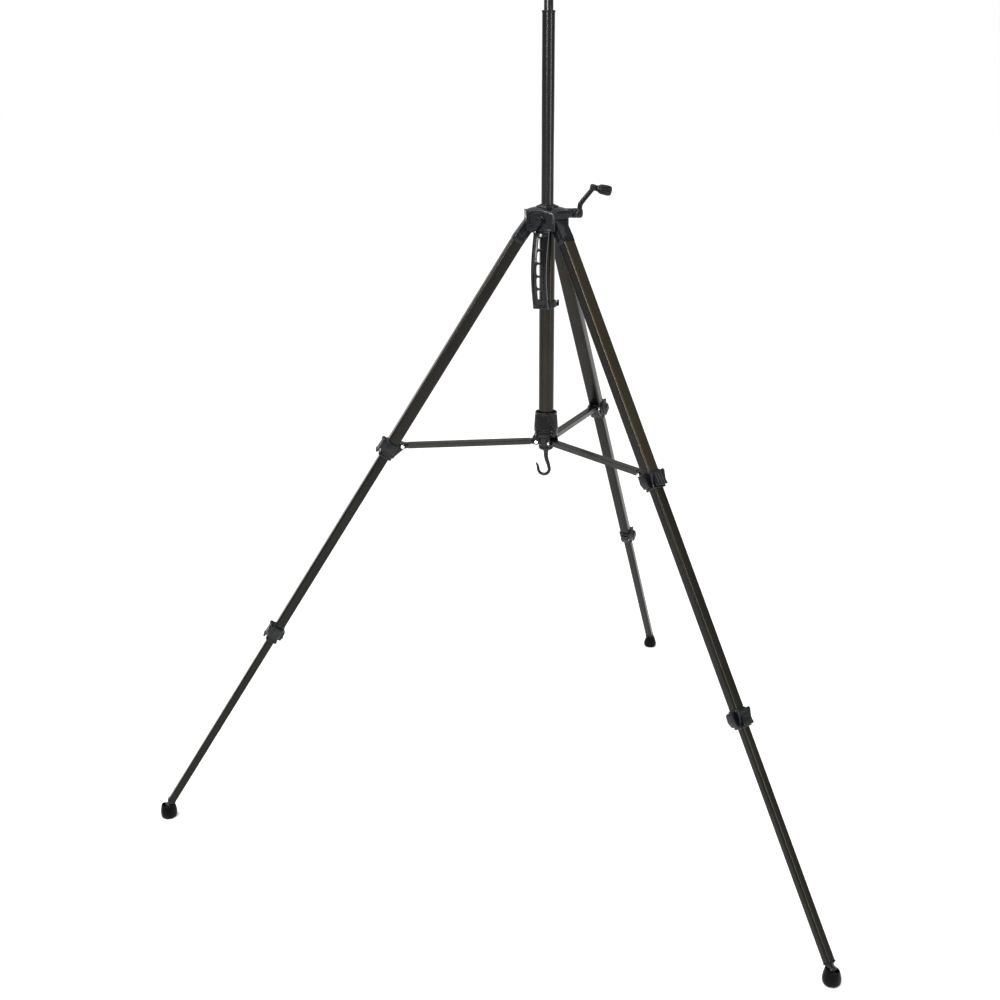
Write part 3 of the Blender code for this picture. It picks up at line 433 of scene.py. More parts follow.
def legs():
    show("upper_leg_tube", leg_tube(UPPER, 37, UPPER_TUBE_END), TUBE, "anodised_tube",
         *on_legs(HINGES, "leg_*", "upper_tube_*"))
    show("middle_leg_tube", leg_tube(MIDDLE, 435, MIDDLE_TUBE_END), INNER_TUBE, "anodised_tube",
         *on_legs(HINGES, "leg_*_middle", "middle_tube_*"))
    show("lower_leg_tube", leg_tube(LOWER, 855, LOWER_TUBE_END), INNER_TUBE, "anodised_tube",
         *on_legs(HINGES, "leg_*_lower", "lower_tube_*"))

    outline = hull((0, 0, 9.8), (9.4, 3.6, 2.0), (LEG_OFFSET + 9.2, -30, 1.8), (LEG_OFFSET - 9.2, -30, 1.8))
    barrel = softened(prism(outline, -12.4, 12.4, "XZ"), 1.3, 3)
    mouth = [(11.0, 12.5, -27), (11.45, 12.95, -28.2), (11.45, 12.95, -37.6), (11.0, 12.5, -38.4)]
    collar = loft([[(x, y, z) for x, y in rounded(2 * d, 2 * w, 3.8, LEG_OFFSET)] for d, w, z in mouth])
    web = softened(prism(hull((LEG_OFFSET, -13, 3.4), (LEG_OFFSET + 1.5, -23, 5.0)), -12.9, 12.9, "XZ"), 0.4)
    show("knuckle", join(barrel, collar, web), PLASTIC, "moulded_plastic",
         *on_legs(HINGES, "leg_*", "leg_head_*"))

    end = LOWER_TUBE_END
    bore_d, bore_w = LOWER[1] - 2 * WALL - 0.3, LOWER[0] - 2 * WALL - 0.3
    tip = loft([[(x, y, -s) for x, y in rounded(d, w, r, LEG_OFFSET)] for d, w, r, s in
                ((bore_d, bore_w, 2.2, end - 12), (bore_d, bore_w, 2.2, end + 0.2),
                 (LOWER[1] + 0.6, LOWER[0] + 0.6, 3.8, end + 0.3),
                 (LOWER[1] + 1.6, LOWER[0] + 1.6, 4.2, end + 0.8),
                 (LOWER[1] + 1.6, LOWER[0] + 1.6, 4.2, end + 2.2),
                 (LOWER[1] + 0.2, LOWER[0] + 0.2, 3.8, end + 2.8),
                 (12.6, 12.8, 5.6, end + 4.5), (11.6, 11.6, 5.7, end + 11))])
    knob = lathe([(0, 7.4), *arc((0, 0), 7.4, 70, -90, 12)], 40)
    moved(knob, Matrix.Translation((LEG_OFFSET, 0, -LEG_LENGTH)))
    show("leg_tip", join(tip, knob), PLASTIC, "moulded_plastic", *on_legs(HINGES, "leg_*_lower"))

    cup = lathe([(0, 17.2), (7.8, 17.2), (10.4, 19.6), (11.4, 23), (11.6, 26.2), (11.9, 27.2), (12.4, 27.6),
                 (12.9, 27.2), (13.5, 25.4), (14.3, 21.6), (15.1, 16.8), (15.5, 12.2), (15.6, 8.8),
                 (15.3, 5.6), (14.5, 2.9), (13.0, 1.1), (11.0, 0.15), (9.4, 0), (9.0, 0.9), (5.4, 0.9),
                 (5, 0), (0, 0)], 72)
    moved(cup, Matrix.Translation((0, 0, -FOOT_PIVOT_Z)))
    for vert in cup.data.vertices:  # its mouth is a slot along the way the leg leans
        height = vert.co.z + FOOT_PIVOT_Z
        vert.co.y *= 1 - 0.3 * min(1, max(0, (height - 8) / 19)) ** 1.3
    scallop = moved(rod((0, -30, 0), (0, 30, 0), 8),
                    Matrix.Translation((3, 0, 7.4)) @ Matrix.Scale(0.75, 4, (0, 0, 1)))
    cut(cup, scallop)
    show("rubber_foot", softened(cup, 0.35), RUBBER, "foot_rubber", *on_legs(FEET, "leg_*_foot", "foot_*"))

    show("hinge_bolt", rod((0, -19.4, 0), (0, 19.4, 0), 2.9), HOOK, "steel",
         *[(m, "frame", [f"hinge_pin_{k}"]) for k, m in enumerate(HINGES, 1)])


def clamp(name, top, outer, inner, body, node, clevis):
    """A collar in two steps round the tubes, with a claw on one side and ears for its lever.

    The upper clamps also carry a clevis for the strut, and the lower ones a boss with a screw.
    """
    d, w = outer[1] / 2 + 2.6, outer[0] / 2 + 3
    low_d, low_w = inner[1] / 2 + 3.0, inner[0] / 2 + 3.2
    bottom = top + CLAMP_LENGTH
    levels = ((d - 1.3, w - 1.3, 5.6, top), (d - 0.4, w - 0.4, 6.4, top + 0.3), (d, w, 6.8, top + 1.2),
              (d, w, 6.8, top + 19.6), (d - 0.4, w - 0.4, 6.4, top + 20.4), (low_d, low_w, 4.4, top + 21),
              (low_d, low_w, 4.4, bottom - 4.4), (low_d + 0.9, low_w + 0.9, 4.8, bottom - 3.8),
              (low_d + 0.9, low_w + 0.9, 4.8, bottom - 0.8), (low_d + 0.2, low_w + 0.2, 4.4, bottom))
    collar = loft([[(x, y, -s) for x, y in rounded(2 * a, 2 * b, r, LEG_OFFSET)] for a, b, r, s in levels])
    pivot_x, pivot_z = LEG_OFFSET + outer[1] / 2 + LEVER_OUT, -top - 5
    face = LEG_OFFSET + d
    for side in (-1, 1):
        panel = box((LEG_OFFSET - 6.5, side * w - 0.9, -top - 18.4),
                    (LEG_OFFSET + 6.5, side * w + 0.7, -top - 2.4))
        join(collar, softened(panel, 0.65, 3))
        low, high = sorted((side * w, side * (w - 3)))
        outline = hull((pivot_x, pivot_z, 3.6), (face - 2, -top - 20, 3), (face - 2, -top - 5, 3))
        ear = prism(outline, low, high, "XZ")
        join(collar, softened(ear, 0.7))
    claw = prism(hull((1 - w, -top - 3.6, 2.0), (-w - 3.6, -top - 7.0, 4.4), (-w - 5.2, -top - 16, 3.6),
                      (-w - 3.0, -top - 25.5, 1.6), (1 - w, -top - 24, 2.4)), LEG_OFFSET - 8, LEG_OFFSET + 7)
    slit = box((LEG_OFFSET - 12, -w - 3.4, -bottom), (LEG_OFFSET + 12, -w - 1.6, -top - 10))
    join(collar, softened(cut(moved(claw, UPRIGHT), slit), 0.9, 3))
    if clevis:
        for side in (-1, 1):
            low, high = sorted((side * 9.4, side * 12.2))
            cheek = prism(hull((-LUG_INSIDE, -LUG_DOWN_LEG, 4.8), (LEG_OFFSET - d + 2, -top - 3, 2),
                               (LEG_OFFSET - d + 2, -top - 25, 2)), low, high, "XZ")
            join(collar, softened(cheek, 0.7))
        block = box((-LUG_INSIDE + 2.5, -11, -top - 26), (LEG_OFFSET - d + 2, 11, -top - 7))
        join(collar, softened(block, 1.5, 3))
    else:
        boss_x = LEG_OFFSET - d
        join(collar, softened(box((boss_x - 4, -8, -top - 24), (boss_x + 2, 8, -top - 6)), 1.3, 3),
             rod((boss_x - 2, -9.2, -top - 15), (boss_x - 2, 9.2, -top - 15), 3.0))
    seat = top + CLAMP_LENGTH - 17.4
    wide = [(x, y) for x, y in rounded(outer[1] + 0.4, outer[0] + 0.4, 3.6, LEG_OFFSET)]
    narrow = [(x, y) for x, y in rounded(inner[1] + 0.4, inner[0] + 0.4, 3.6, LEG_OFFSET)]
    cut(collar, prism(wide, -seat, -top + 10), prism(narrow, -bottom - 1, -seat + 1))
    show(name, collar, PLASTIC, "moulded_plastic", *on_legs(HINGES, body, node), keep_angle=30)
    if not clevis:
        head = lathe([(0, 0.9), (1.6, 0.8), (2.3, 0.3), (2.4, 0), (2.4, -4), (0, -4)], 24)
        moved(head, Matrix.Translation((LEG_OFFSET - d - 2, -9.2, -top - 15))
              @ Matrix.Rotation(pi / 2, 4, "X"))
        show(name + "_screw", head, STEEL, "moulded_plastic", *on_legs(HINGES, body))
    return pivot_x, pivot_z, w


def lever(name, pivot, body, node):
    """A flip lever: a barrel at its top, a grooved blade with side walls, and a rounded lip at its end."""
    pivot_x, pivot_z, w = pivot
    half = w - 3.4
    line = smooth([(0, 0, -0.5), (0.9, 0, -6), (1.1, 0, -12), (1.5, 0, -18), (2.6, 0, -23)], 2)
    groove = ((0.9, 1.2), (0.5, 0.5), (-0.5, 0.5), (-0.9, 1.2))
    grooves = [(u + v, depth) for u in (half / 2, 0, -half / 2) for v, depth in groove]
    blade = sweep(line, [[(half, -1.2), (half, 1.2), *grooves, (-half, 1.2), (-half, -1.2)] for _ in line])
    softened(blade, 0.3)
    join(blade, rod((0, -half, 0), (0, half, 0), 2.4))
    for side in (-1, 1):
        low, high = sorted((side * half, side * (half - 1.6)))
        wall = prism(hull((0, -2, 2.1), (0.6, -12, 1.6), (1.7, -21.5, 1.3)), low, high, "XZ")
        join(blade, softened(wall, 0.4))
    join(blade, rod((2.6, -half + 0.4, -22.8), (2.6, half - 0.4, -22.8), 1.4, segments=20))
    pivots = [m @ Matrix.Translation(Vector((pivot_x, 0, pivot_z)) * 0.001) for m in HINGES]
    show(name, blade, PLASTIC, "moulded_plastic", *on_legs(pivots, body, node))


# Spreader and hub

def channel(start, end):
    """A length of strut along X: a folded channel, open below, with a pressed rib down its top."""
    out = [(-7.5, -4.75), (-7.5, 3.4), *arc((-6.3, 3.55), 1.2, 180, 90, 4), (-2.6, 4.75), (-2.0, 4.35),
           (2.0, 4.35), (2.6, 4.75), *arc((6.3, 3.55), 1.2, 90, 0, 4), (7.5, -4.75), (6.3, -4.75), (6.3, 3.4),
           (2.2, 3.4), (1.8, 3.1), (-1.8, 3.1), (-2.2, 3.4), (-6.3, 3.4), (-6.3, -4.75)]
    return loft([[(x, y, z) for y, z in out] for x in (start, end)])


def rivet(half):
    dome = [(0, 1.25), (1.3, 1.1), (2.5, 0.7), (3.2, 0.15), (3.3, -0.3)]
    return moved(lathe([(r, half + z) for r, z in dome] + [(1.9, half - 0.3), (1.9, -half + 0.3)]
                       + [(r, -half - z) for r, z in reversed(dome)], 32), Matrix.Rotation(pi / 2, 4, "X"))


def struts():
    show("strut_channel", channel(9.5, STRUT_SEAM), STRUT, "strut_metal",
         *on_legs(INNER, "strut_*", "brace_*"), keep_angle=30)
    show("strut_channel_end", channel(-100.4, -10.5), STRUT, "strut_metal",
         *on_legs(OUTER, "strut_*_end", "brace_end_*"), keep_angle=30)
    eye = prism(hull((0, 0, 4.7), (17, 0, 3.2)), -6.1, 6.1, "XZ")
    join(eye, prism(hull((0, 0, 4.7), (6, 0, 4.2)), -7.4, 7.4, "XZ"))
    show("strut_eye", softened(eye, 0.6), PLASTIC, "strut_metal", *on_legs(INNER, "strut_*"))
    outer_eye = prism(hull((0, 0, 4.7), (-19, 0, 3.2)), -6.1, 6.1, "XZ")
    join(outer_eye, prism(hull((0, 0, 4.7), (-7, 0, 4.2)), -8.6, 8.6, "XZ"))
    show("strut_end_eye", softened(outer_eye, 0.6), PLASTIC, "strut_metal", *on_legs(OUTER, "strut_*_end"))
    show("outer_rivet", rivet(12.4), NICKEL, "nickel", *on_legs(OUTER, "leg_*", "brace_outer_pin_*"))
    show("inner_rivet", rivet(11.0), NICKEL, "nickel",
         *[(m, "hub_carriage", [f"brace_inner_pin_{k}"]) for k, m in enumerate(INNER, 1)])


def hub():
    body = lathe([(14.3, 788), (17.2, 788), (17.2, HUB_HIGH + 0.2), (20.4, HUB_HIGH + 0.2),
                  (21.2, HUB_HIGH - 0.4), (21.5, HUB_HIGH - 1.6), (21.5, HUB_LOW + 2), (21.0, HUB_LOW + 0.6),
                  (20.0, HUB_LOW), (17.6, HUB_LOW - 1.8), (16.4, HUB_LOW - 6), (16.2, 733.5), (15.6, 732.6),
                  (14.3, 732.6)], 96)
    for azimuth in LEG_AZIMUTHS:
        slot = box((14.4, -7.8, 730), (40, 7.8, HUB_LOW - 0.3))
        cut(body, spun(slot, azimuth))
        for side in (-1, 1):
            near, far = sorted((side * 7.9, side * 10.8))
            cheek = prism(hull((STRUT_R, STRUT_Z, 5.5), (STRUT_R - 2.4, HUB_LOW + 2, 3.0),
                               (16.2, STRUT_Z - 1, 3.0)), near, far, "XZ")
            join(body, spun(softened(cheek, 0.7), azimuth))
    cut(body, rod((0, 0, 700), (0, 0, 800), 14.3, segments=96))
    show("hub_body", body, PLASTIC, "moulded_plastic", (AXIS, "hub_carriage", ["hub"]), keep_angle=30)

    count = 44
    ring_points = 6 * count

    def ring(radius, z, depth):
        """A ring of the grip, its flutes cut to a depth."""
        out = []
        for i in range(ring_points):
            turn = 2 * pi * i / ring_points
            wave = 0.5 - 0.5 * cos(2 * pi * (i % 6) / 6)
            r = radius - depth * wave ** 2
            out.append((r * cos(turn), r * sin(turn), z))
        return out

    skin = [ring(14.9, 785.6, 0), ring(17.4, 785.6, 0), ring(17.9, 793.4, 0), ring(18.6, 794.9, 0),
            ring(19.4, 795, 0), ring(20.3, 794.3, 0), ring(20.5, 792.8, 0), ring(20.4, 791.2, 0),
            ring(20.1, 790.6, 0.0), ring(20.7, 789.2, 0.55), ring(21.6, 776, 0.6), ring(22.3, 765, 0.6),
            ring(22.4, 763.2, 0.3), ring(22.1, 762.6, 0), ring(22.2, 761.2, 0), ring(22.5, 760.6, 0),
            ring(22.5, 758.4, 0), ring(22.0, 757.3, 0), ring(20.8, 757, 0), ring(17.7, 757, 0),
            ring(17.7, 780, 0), ring(14.9, 780, 0)]
    nut = loft(skin, loop=True)
    tab = softened(prism(hull((0, 4, 3.2), (6, -4.5, 2.2), (-5, -3.5, 2.2)), 0, 1.7), 0.7, 3)
    moved(tab, Matrix(((0, 0, 1, 21.2), (1, 0, 0, 0), (0, 1, 0, 769), (0, 0, 0, 1))))
    join(nut, spun(tab, -48))
    show("hub_lock_nut", nut, GRIP, "moulded_plastic", (AXIS, "lock_nut", ["hub_nut"]), keep_angle=40)


def hook():
    bowl = arc((-3.9, 682.4), 10.7, 25, -175, 30)
    line = smooth([(0, 719), (0, 711), (0.6, 705), (2.4, 698.5), (4.9, 692)], 2) + bowl
    line += smooth([(-14.8, 684), (-15.4, 687), (-16.6, 690), (-18.0, 692.6)], 1)
    last = len(line) - 1
    radii = []
    for i in range(last + 1):
        share = i / last
        taper = 3.2 * min(share, 0.45) + 1.3 * max(share - 0.45, 0) ** 1.6 + 10 * max(share - 0.9, 0)
        radii.append(4.5 - taper)
    path = [(x, 0, z) for x, z in line]
    turns = [2 * pi * i / 20 for i in range(20)]
    curl = sweep(path, [[(0.92 * r * cos(a), r * sin(a)) for a in turns] for r in radii])
    ball_r = radii[-1] * 1.12
    ball = lathe([(0, ball_r), *arc((0, 0), ball_r, 80, -80, 8), (0, -ball_r)], 20)
    join(curl, moved(ball, Matrix.Translation(Vector(path[-1]))))
    stem = lathe([(0, 742), (3, 742), (3, 721.2), (4.7, 721.1), (5.2, 720.4), (5.2, 717.4), (4.5, 716.4),
                  (0, 716)], 40)
    show("weight_hook", spun(join(stem, curl), 10), HOOK, "strut_metal", (AXIS, "hook_swivel", ["hook"]),
         keep_angle=50)


def guide():
    tube = lathe([(GUIDE_BORE, GUIDE_TOP), (GUIDE_R, GUIDE_TOP), (GUIDE_R, GUIDE_BOTTOM),
                  (GUIDE_BORE, GUIDE_BOTTOM)], 96)
    show("guide_column_tube", tube, GUIDE, "anodised_tube", (AXIS, "frame", ["guide_tube"]))
    cap = lathe([(3.3, 742), (12.4, 742), (12.4, 734.2), (14.1, 734.2), (14.1, 728.4), (13.7, 727.9),
                 (13.7, 727.2), (14.0, 726.6), (13.8, 724.6), (12.9, 722.8), (11.2, 721.7), (9.0, 721.5),
                 (3.3, 721.5)], 96)
    show("guide_cap", cap, PLASTIC, "moulded_plastic", (AXIS, "frame", ["guide_end_cap"]))


# Crown

def corner_rounded(outline, radius, steps=5):
    """Rounds each corner of a convex outline."""
    out = []
    count = len(outline)
    for i in range(count):
        a, b, c = Vector(outline[i - 1]), Vector(outline[i]), Vector(outline[(i + 1) % count])
        to_a, to_c = (a - b).normalized(), (c - b).normalized()
        half = to_a.angle(to_c) / 2
        reach = radius / max(1e-6, (sin(half) / cos(half)))
        start, end = b + to_a * reach, b + to_c * reach
        for step in range(steps + 1):
            t = step / steps
            out.append(tuple(start * (1 - t) ** 2 + b * 2 * t * (1 - t) + end * t ** 2))
    return out


def subdivided(outline, steps):
    """An outline with its long sides split, so that it can be bent round."""
    out = []
    for a, b in zip(outline, outline[1:] + outline[:1]):
        count = steps if (Vector(b) - Vector(a)).length > 8 else 1
        out += [tuple(Vector(a).lerp(Vector(b), i / count)) for i in range(count)]
    return out


def crown():
    outline = []
    for azimuth in LEG_AZIMUTHS:
        for side in (-1, 1):
            corner = at(azimuth, 40, aside=side * 17)
            outline.append((corner.x, corner.y))
    soft = subdivided(corner_rounded(outline, 3.6), 12)
    dome = [(0, 1, CROWN_BOTTOM, 0), (0, 1, 1159, 0), (0.3, 1, 1161.5, 38.2), (0.55, 0.995, 1163.6, 38.4),
            (0.75, 0.975, 1165.2, 38.2), (0.88, 0.93, 1166.5, 37.6), (0.96, 0.84, 1168.0, 37),
            (1, 0.7, 1169.4, 37), (1, 0.5, 1170.4, 37)]
    rings = []
    for roundness, size, z, radius in dome:
        ring = [Vector(p).lerp(Vector(p).normalized() * radius, roundness) * size for p in soft]
        rings.append([(p.x, p.y, z) for p in ring])
    body = loft(rings)
    boss = lathe([(0, CROWN_TOP), (13.0, CROWN_TOP), (14.0, CROWN_TOP - 0.3), (19.7, 1172.0), (20.5, 1171.2),
                  (20.7, 1170.2), (20.3, 1168.6), (20.3, 1160), (0, 1160)], 96)
    join(body, boss)
    for azimuth in (-90, 30, 150):
        arch = [(-20.6, 1126), (20.6, 1126), *arc((0, 1123.3), 38.2, 57.4, 122.6, 16)]
        cut(body, spun(moved(prism(arch, 32.6, 40), UPRIGHT), azimuth))
        sill = prism([(-20.2, 1130.4), (20.2, 1130.4), (20.2, 1133.4), (-20.2, 1133.4)], 31.6, 34.4)
        join(body, spun(moved(softened(sill, 0.5), UPRIGHT), azimuth))
    for azimuth in LEG_AZIMUTHS:
        join(body, spun(softened(box((34.6, -16.4, 1156), (40.2, 16.4, 1165.6)), 1.6, 3), azimuth))
    for azimuth in LEG_AZIMUTHS:
        slot = box((21.3, -12.8, 1120), (60, 12.8, HINGE_Z + 10.8))
        cut(body, spun(slot, azimuth))
    crank_boss = rod(at(CRANK_AZIMUTH, 18, SHAFT_Z, SHAFT_OFFSET),
                     at(CRANK_AZIMUTH, 46.8, SHAFT_Z, SHAFT_OFFSET), 9.2, 8.6, 48)
    lock_boss = rod(at(-90, 30, LOCK_Z), at(-90, 37, LOCK_Z), 8.8, 8.0, 48)
    join(body, softened(crank_boss, 0.6), softened(lock_boss, 0.6))
    cut(body, rod((0, 0, 1110), (0, 0, 1200), 11.4, segments=96),
        rod((0, 0, 1110), (0, 0, 1143.8), 14.3, segments=96))
    softened(body, 0.55, 2, 42)
    show("crown_casting", body, PLASTIC, "moulded_plastic", (AXIS, "frame", ["crown"]), keep_angle=34)

    band = lathe([(11.5, CROWN_TOP - 0.2), (11.5, CROWN_TOP + 0.5), (12.8, CROWN_TOP + 0.5),
                  (13.6, CROWN_TOP - 0.2)], 96)
    show("crown_bush", band, GRIP, "moulded_plastic", (AXIS, "frame", []))


def lock():
    cap = softened(rod((37.4, 0, 0), (46, 0, 0), 7.4, 6.4, 48), 0.9, 3)
    wing = softened(prism(hull((0, 0, 6.8), (-12.0, -14.6, 6.6)), 39, 44.4), 1.4, 3)
    ridge = softened(prism(hull((-0.5, -2, 2.6), (-10, -13.0, 2.0)), 43.6, 45.8), 0.8, 3)
    knob = join(cap, moved(wing, UPRIGHT), moved(ridge, UPRIGHT), rod((12, 0, 0), (38, 0, 0), 3.9))
    show("lock_wing", knob, PLASTIC, "moulded_plastic",
         (spot((0, 0, LOCK_Z)) @ heading(-90), "column_lock", ["lock_knob"]))


# Column and mast

def column():
    tube = lathe([(9.5, COLUMN_TOP), (11, COLUMN_TOP), (11, COLUMN_BOTTOM), (9.5, COLUMN_BOTTOM)], 96)
    slot = box((8.9, -2.8, COLUMN_BOTTOM - 1), (14, 2.8, 1476.3))
    cut(tube, spun(slot, 120))
    dimple = spun(rod((10.4, 0, 1419), (14, 0, 1419), 1.7, 2.4), -90)
    cut(tube, dimple)
    show("geared_column", tube, COLUMN, "anodised_tube", (AXIS, "centre_column", ["column"]))
    bush = lathe([(8.25, 1500.2), (10.9, 1500.2), (11.5, 1499.9), (11.75, 1499.2), (11.75, 1496.9),
                  (11.4, 1496.2), (9.3, 1496.2), (9.3, 1477), (8.25, 1477)], 96)
    show("top_bush", bush, GRIP, "moulded_plastic", (AXIS, "centre_column", ["column_bush"]))
    mast = lathe([(6.8, MAST_TOP), (7.7, MAST_TOP), (8, MAST_TOP - 0.4), (8, MAST_BOTTOM + 0.4),
                  (7.7, MAST_BOTTOM), (6.8, MAST_BOTTOM)], 80)
    show("sliding_mast", mast, MAST, "mast_gloss", (AXIS, "mast", ["inner_mast"]))
    seat = 1591.0
    plug = lathe([(0, seat), (4.75, seat), (14.4, seat), (15.6, seat - 0.4), (16, seat - 1.2), (16, 1588.2),
                  (15.2, 1586.6), (11, 1585.6), (8.2, 1585.3), (6.5, 1585.3), (6.5, 1567), (0, 1567)], 96)
    for step in range(3):
        groove = lathe([(12.8 - 2.4 * step, seat + 1), (13.4 - 2.4 * step, seat + 1),
                        (13.4 - 2.4 * step, seat - 0.5), (12.8 - 2.4 * step, seat - 0.5)], 96)
        cut(plug, groove)
    show("head_seat_plug", plug, GRIP, "moulded_plastic", (AXIS, "mast", ["mast_plug"]))
    thread = [(4.75 if i % 2 else 3.95, seat - 0.2 + 0.79 * i) for i in range(15)]
    stud = lathe([(0, seat - 4), (3.9, seat - 4), *thread, (3.6, seat + 12), (0, seat + 12)], 48)
    show("head_stud", stud, STEEL, "steel", (AXIS, "mast", []))


# Crank

def crank():
    shaft = (spot(at(CRANK_AZIMUTH, 0, SHAFT_Z, SHAFT_OFFSET)) @ heading(CRANK_AZIMUTH)
             @ Matrix.Rotation(pi / 2, 4, "Y"))
    collar = lathe([(3.2, 46.9), (8.0, 46.9), (8.4, 47.2), (8.4, 47.8), (8.0, 48.1), (3.2, 48.1)], 48)
    show("crank_washer", collar, GRIP, "moulded_plastic", (shaft, "frame", []))
    hub_plate = lathe([(0, 66.8), (5.6, 66.8), (7.2, 66.2), (8.5, 64.8), (9, 62.8), (9, 57), (8.5, 56.3),
                       (8.5, 55.5), (9, 54.8), (9, 49.4), (8.4, 48.5), (0, 48.5)], 64)
    knob_root = (Matrix.Translation((-CRANK_RISE, 0, CRANK_REACH))
                 @ Matrix.Rotation(radians(KNOB_TILT), 4, "Y"))
    path = smooth([(7, 0, 61.4), (-12, 0, 61.4), (-18, 0, 63.5), (-CRANK_RISE + 4, 0, 83.5),
                   (-CRANK_RISE - 1, 0, 86.5)], 3)
    last = len(path) - 1
    sections = []
    for i in range(len(path)):
        share = i / last
        wide, deep = 9.6 - 1.8 * share, 9.0 - 1.4 * share
        sections.append([(y, x) for x, y in rounded(deep, wide, 2.6, 0, 5)])
    arm = sweep(path, sections)
    end = lathe([(0, 5), (4.7, 5), (5.8, 4), (6, -3.4), (5.2, -5.2), (3.4, -6), (0, -6.2)], 40)
    join(hub_plate, arm, moved(end, knob_root), moved(rod((0, 0, 0), (0, 0, 27), 2.5), knob_root))
    show("crank_lever", hub_plate, PLASTIC, "moulded_plastic", (shaft, "crank", ["crank_arm"]), keep_angle=45)

    flutes, points = 14, 140

    def ring(radius, z, depth):
        out = []
        for i in range(points):
            turn = 2 * pi * i / points
            r = radius - depth * (0.5 - 0.5 * cos(turn * flutes)) ** 1.5
            out.append((r * cos(turn), r * sin(turn), z))
        return out

    grip = loft([ring(2.9, 22.2, 0), ring(2.9, 0.2, 0), ring(4.8, 0.2, 0), ring(5.5, 0.9, 0),
                 ring(5.8, 3.4, 0), ring(6.9, 4.8, 0), ring(8.1, 6.6, 0.3), ring(8.8, 9.5, 0.8),
                 ring(9.2, 16, 0.9), ring(9.2, 23.4, 0.7), ring(8.7, 25.8, 0.3), ring(7.8, 27.3, 0),
                 ring(6.2, 28, 0), ring(0.02, 28.2, 0)])
    seat = shaft @ Matrix.Translation(knob_root.translation * 0.001) @ knob_root.to_3x3().to_4x4()
    show("crank_grip_knob", grip, GRIP, "moulded_plastic",
         (seat @ Matrix.Translation((0, 0, 0.0054)), "crank_grip", ["crank_knob"]), keep_angle=50)


# Handle

def handle():
    span = HANDLE_TOP - HANDLE_BOTTOM
    steps = 40

    def bow(share):
        return 27 + 11 * sin(pi * min(max(share * 1.08 - 0.03, 0), 1))

    path = [(bow(i / steps), 0, HANDLE_BOTTOM + span * i / steps) for i in range(steps + 1)]
    rim = [(14.0, 0), (14.3, -3.4), (14.1, -4.8), (13.4, -5.8), (12.3, -6.2), (11.2, -5.9), (10.3, -5.0),
           (9.6, -3.8), (8.9, -3.0), (8.1, -2.7)]
    section = [(-13.4, 0.3), (13.4, 0.3), *rim, *[(-y, x) for y, x in reversed(rim)]]
    strap = sweep(path, [section] * len(path))
    for low, high in ((HANDLE_TOP - 7, HANDLE_TOP), (HANDLE_BOTTOM, HANDLE_BOTTOM + 6)):
        join(strap, softened(box((26.5, -13.4, low), (32.6, 13.4, high)), 1.2, 3))
    for number in range(5):
        window = moved(prism(rounded(10.4, 19.4, 4.2, 0, 5), 20, 60), UPRIGHT)
        cut(strap, moved(window, Matrix.Translation((0, 0, 1108 - 23 * number))))
    join(strap, softened(box((16, -11, HANDLE_TOP - 4), (30, 11, CROWN_BOTTOM - 0.1)), 1.0, 3),
         softened(box((19.5, -8, HANDLE_BOTTOM), (30, 8, HANDLE_BOTTOM + 8)), 1.0, 3))
    softened(strap, 0.35, 2, 50)
    show("carry_handle", strap, PLASTIC, "moulded_plastic", (FACING, "frame", ["handle"]), keep_angle=34)
    stud = lathe([(0, 1.6), (1.8, 1.4), (3.0, 0.7), (3.4, -0.2), (3.4, -3), (0, -3)], 32)
    moved(stud, Matrix.Translation((33.0, 0, HANDLE_TOP - 4.2)) @ Matrix.Rotation(pi / 2, 4, "Y"))
    show("handle_rivet", stud, STEEL, "moulded_plastic", (FACING, "frame", []))

    clip = lathe([(14.1, HANDLE_BOTTOM + 11.6), (14.6, HANDLE_BOTTOM + 12), (17.3, HANDLE_BOTTOM + 12),
                  (18, HANDLE_BOTTOM + 11.3), (18, HANDLE_BOTTOM + 0.7), (17.3, HANDLE_BOTTOM),
                  (14.6, HANDLE_BOTTOM), (14.1, HANDLE_BOTTOM + 0.4)], 96)
    horn = prism(hull((16, 0, 2.6), (20.4, 0.5, 2.2)), HANDLE_BOTTOM + 1.4, HANDLE_BOTTOM + 8)
    nib = prism(hull((20.6, 1.0, 1.9), (20.4, 3.0, 1.2)), HANDLE_BOTTOM + 1.4, HANDLE_BOTTOM + 12.6)
    softened(horn, 0.8, 3)
    softened(nib, 0.6, 3)
    tab = softened(box((16, -6, HANDLE_BOTTOM + 0.2), (19.2, 6, HANDLE_BOTTOM + 11.8)), 0.8)
    join(clip, spun(join(horn, nib), 25), spun(tab, -90))
    cut(clip, rod((0, 0, 900), (0, 0, 1100), 14.1, segments=96))
    show("handle_clip_ring", clip, PLASTIC, "moulded_plastic", (AXIS, "frame", ["handle_clip"]),
         keep_angle=34)


# Studio

WORLD_LIGHT = 0.4
CEILING_LIGHT = 2.6
SOFTBOXES = (
    ("key_softbox", (-0.2, -3.2, 2.4), (0, -0.2, 0.8), (0.4, 1.8), 75, (1.0, 0.98, 0.96)),
    ("side_strip", (2.6, -0.9, 1.6), (0, -0.2, 0.8), (0.3, 2.0), 34, (1.0, 0.94, 0.86)),
    ("overhead_strip", (-0.9, -0.9, 3.4), (0, -0.2, 0.9), (0.5, 1.6), 46, (1.0, 1.0, 1.0)),
)
CAMERA_PITCH, CAMERA_TURN, CAMERA_ROLL = radians(16.41), radians(21.41), 0.0063
CAMERA_DISTANCE, CAMERA_AIM_Z = 2.3667, 0.7
SENSOR, LENS, SHIFT_X, SHIFT_Y = 36, 45.13536, -0.04582, -0.0402


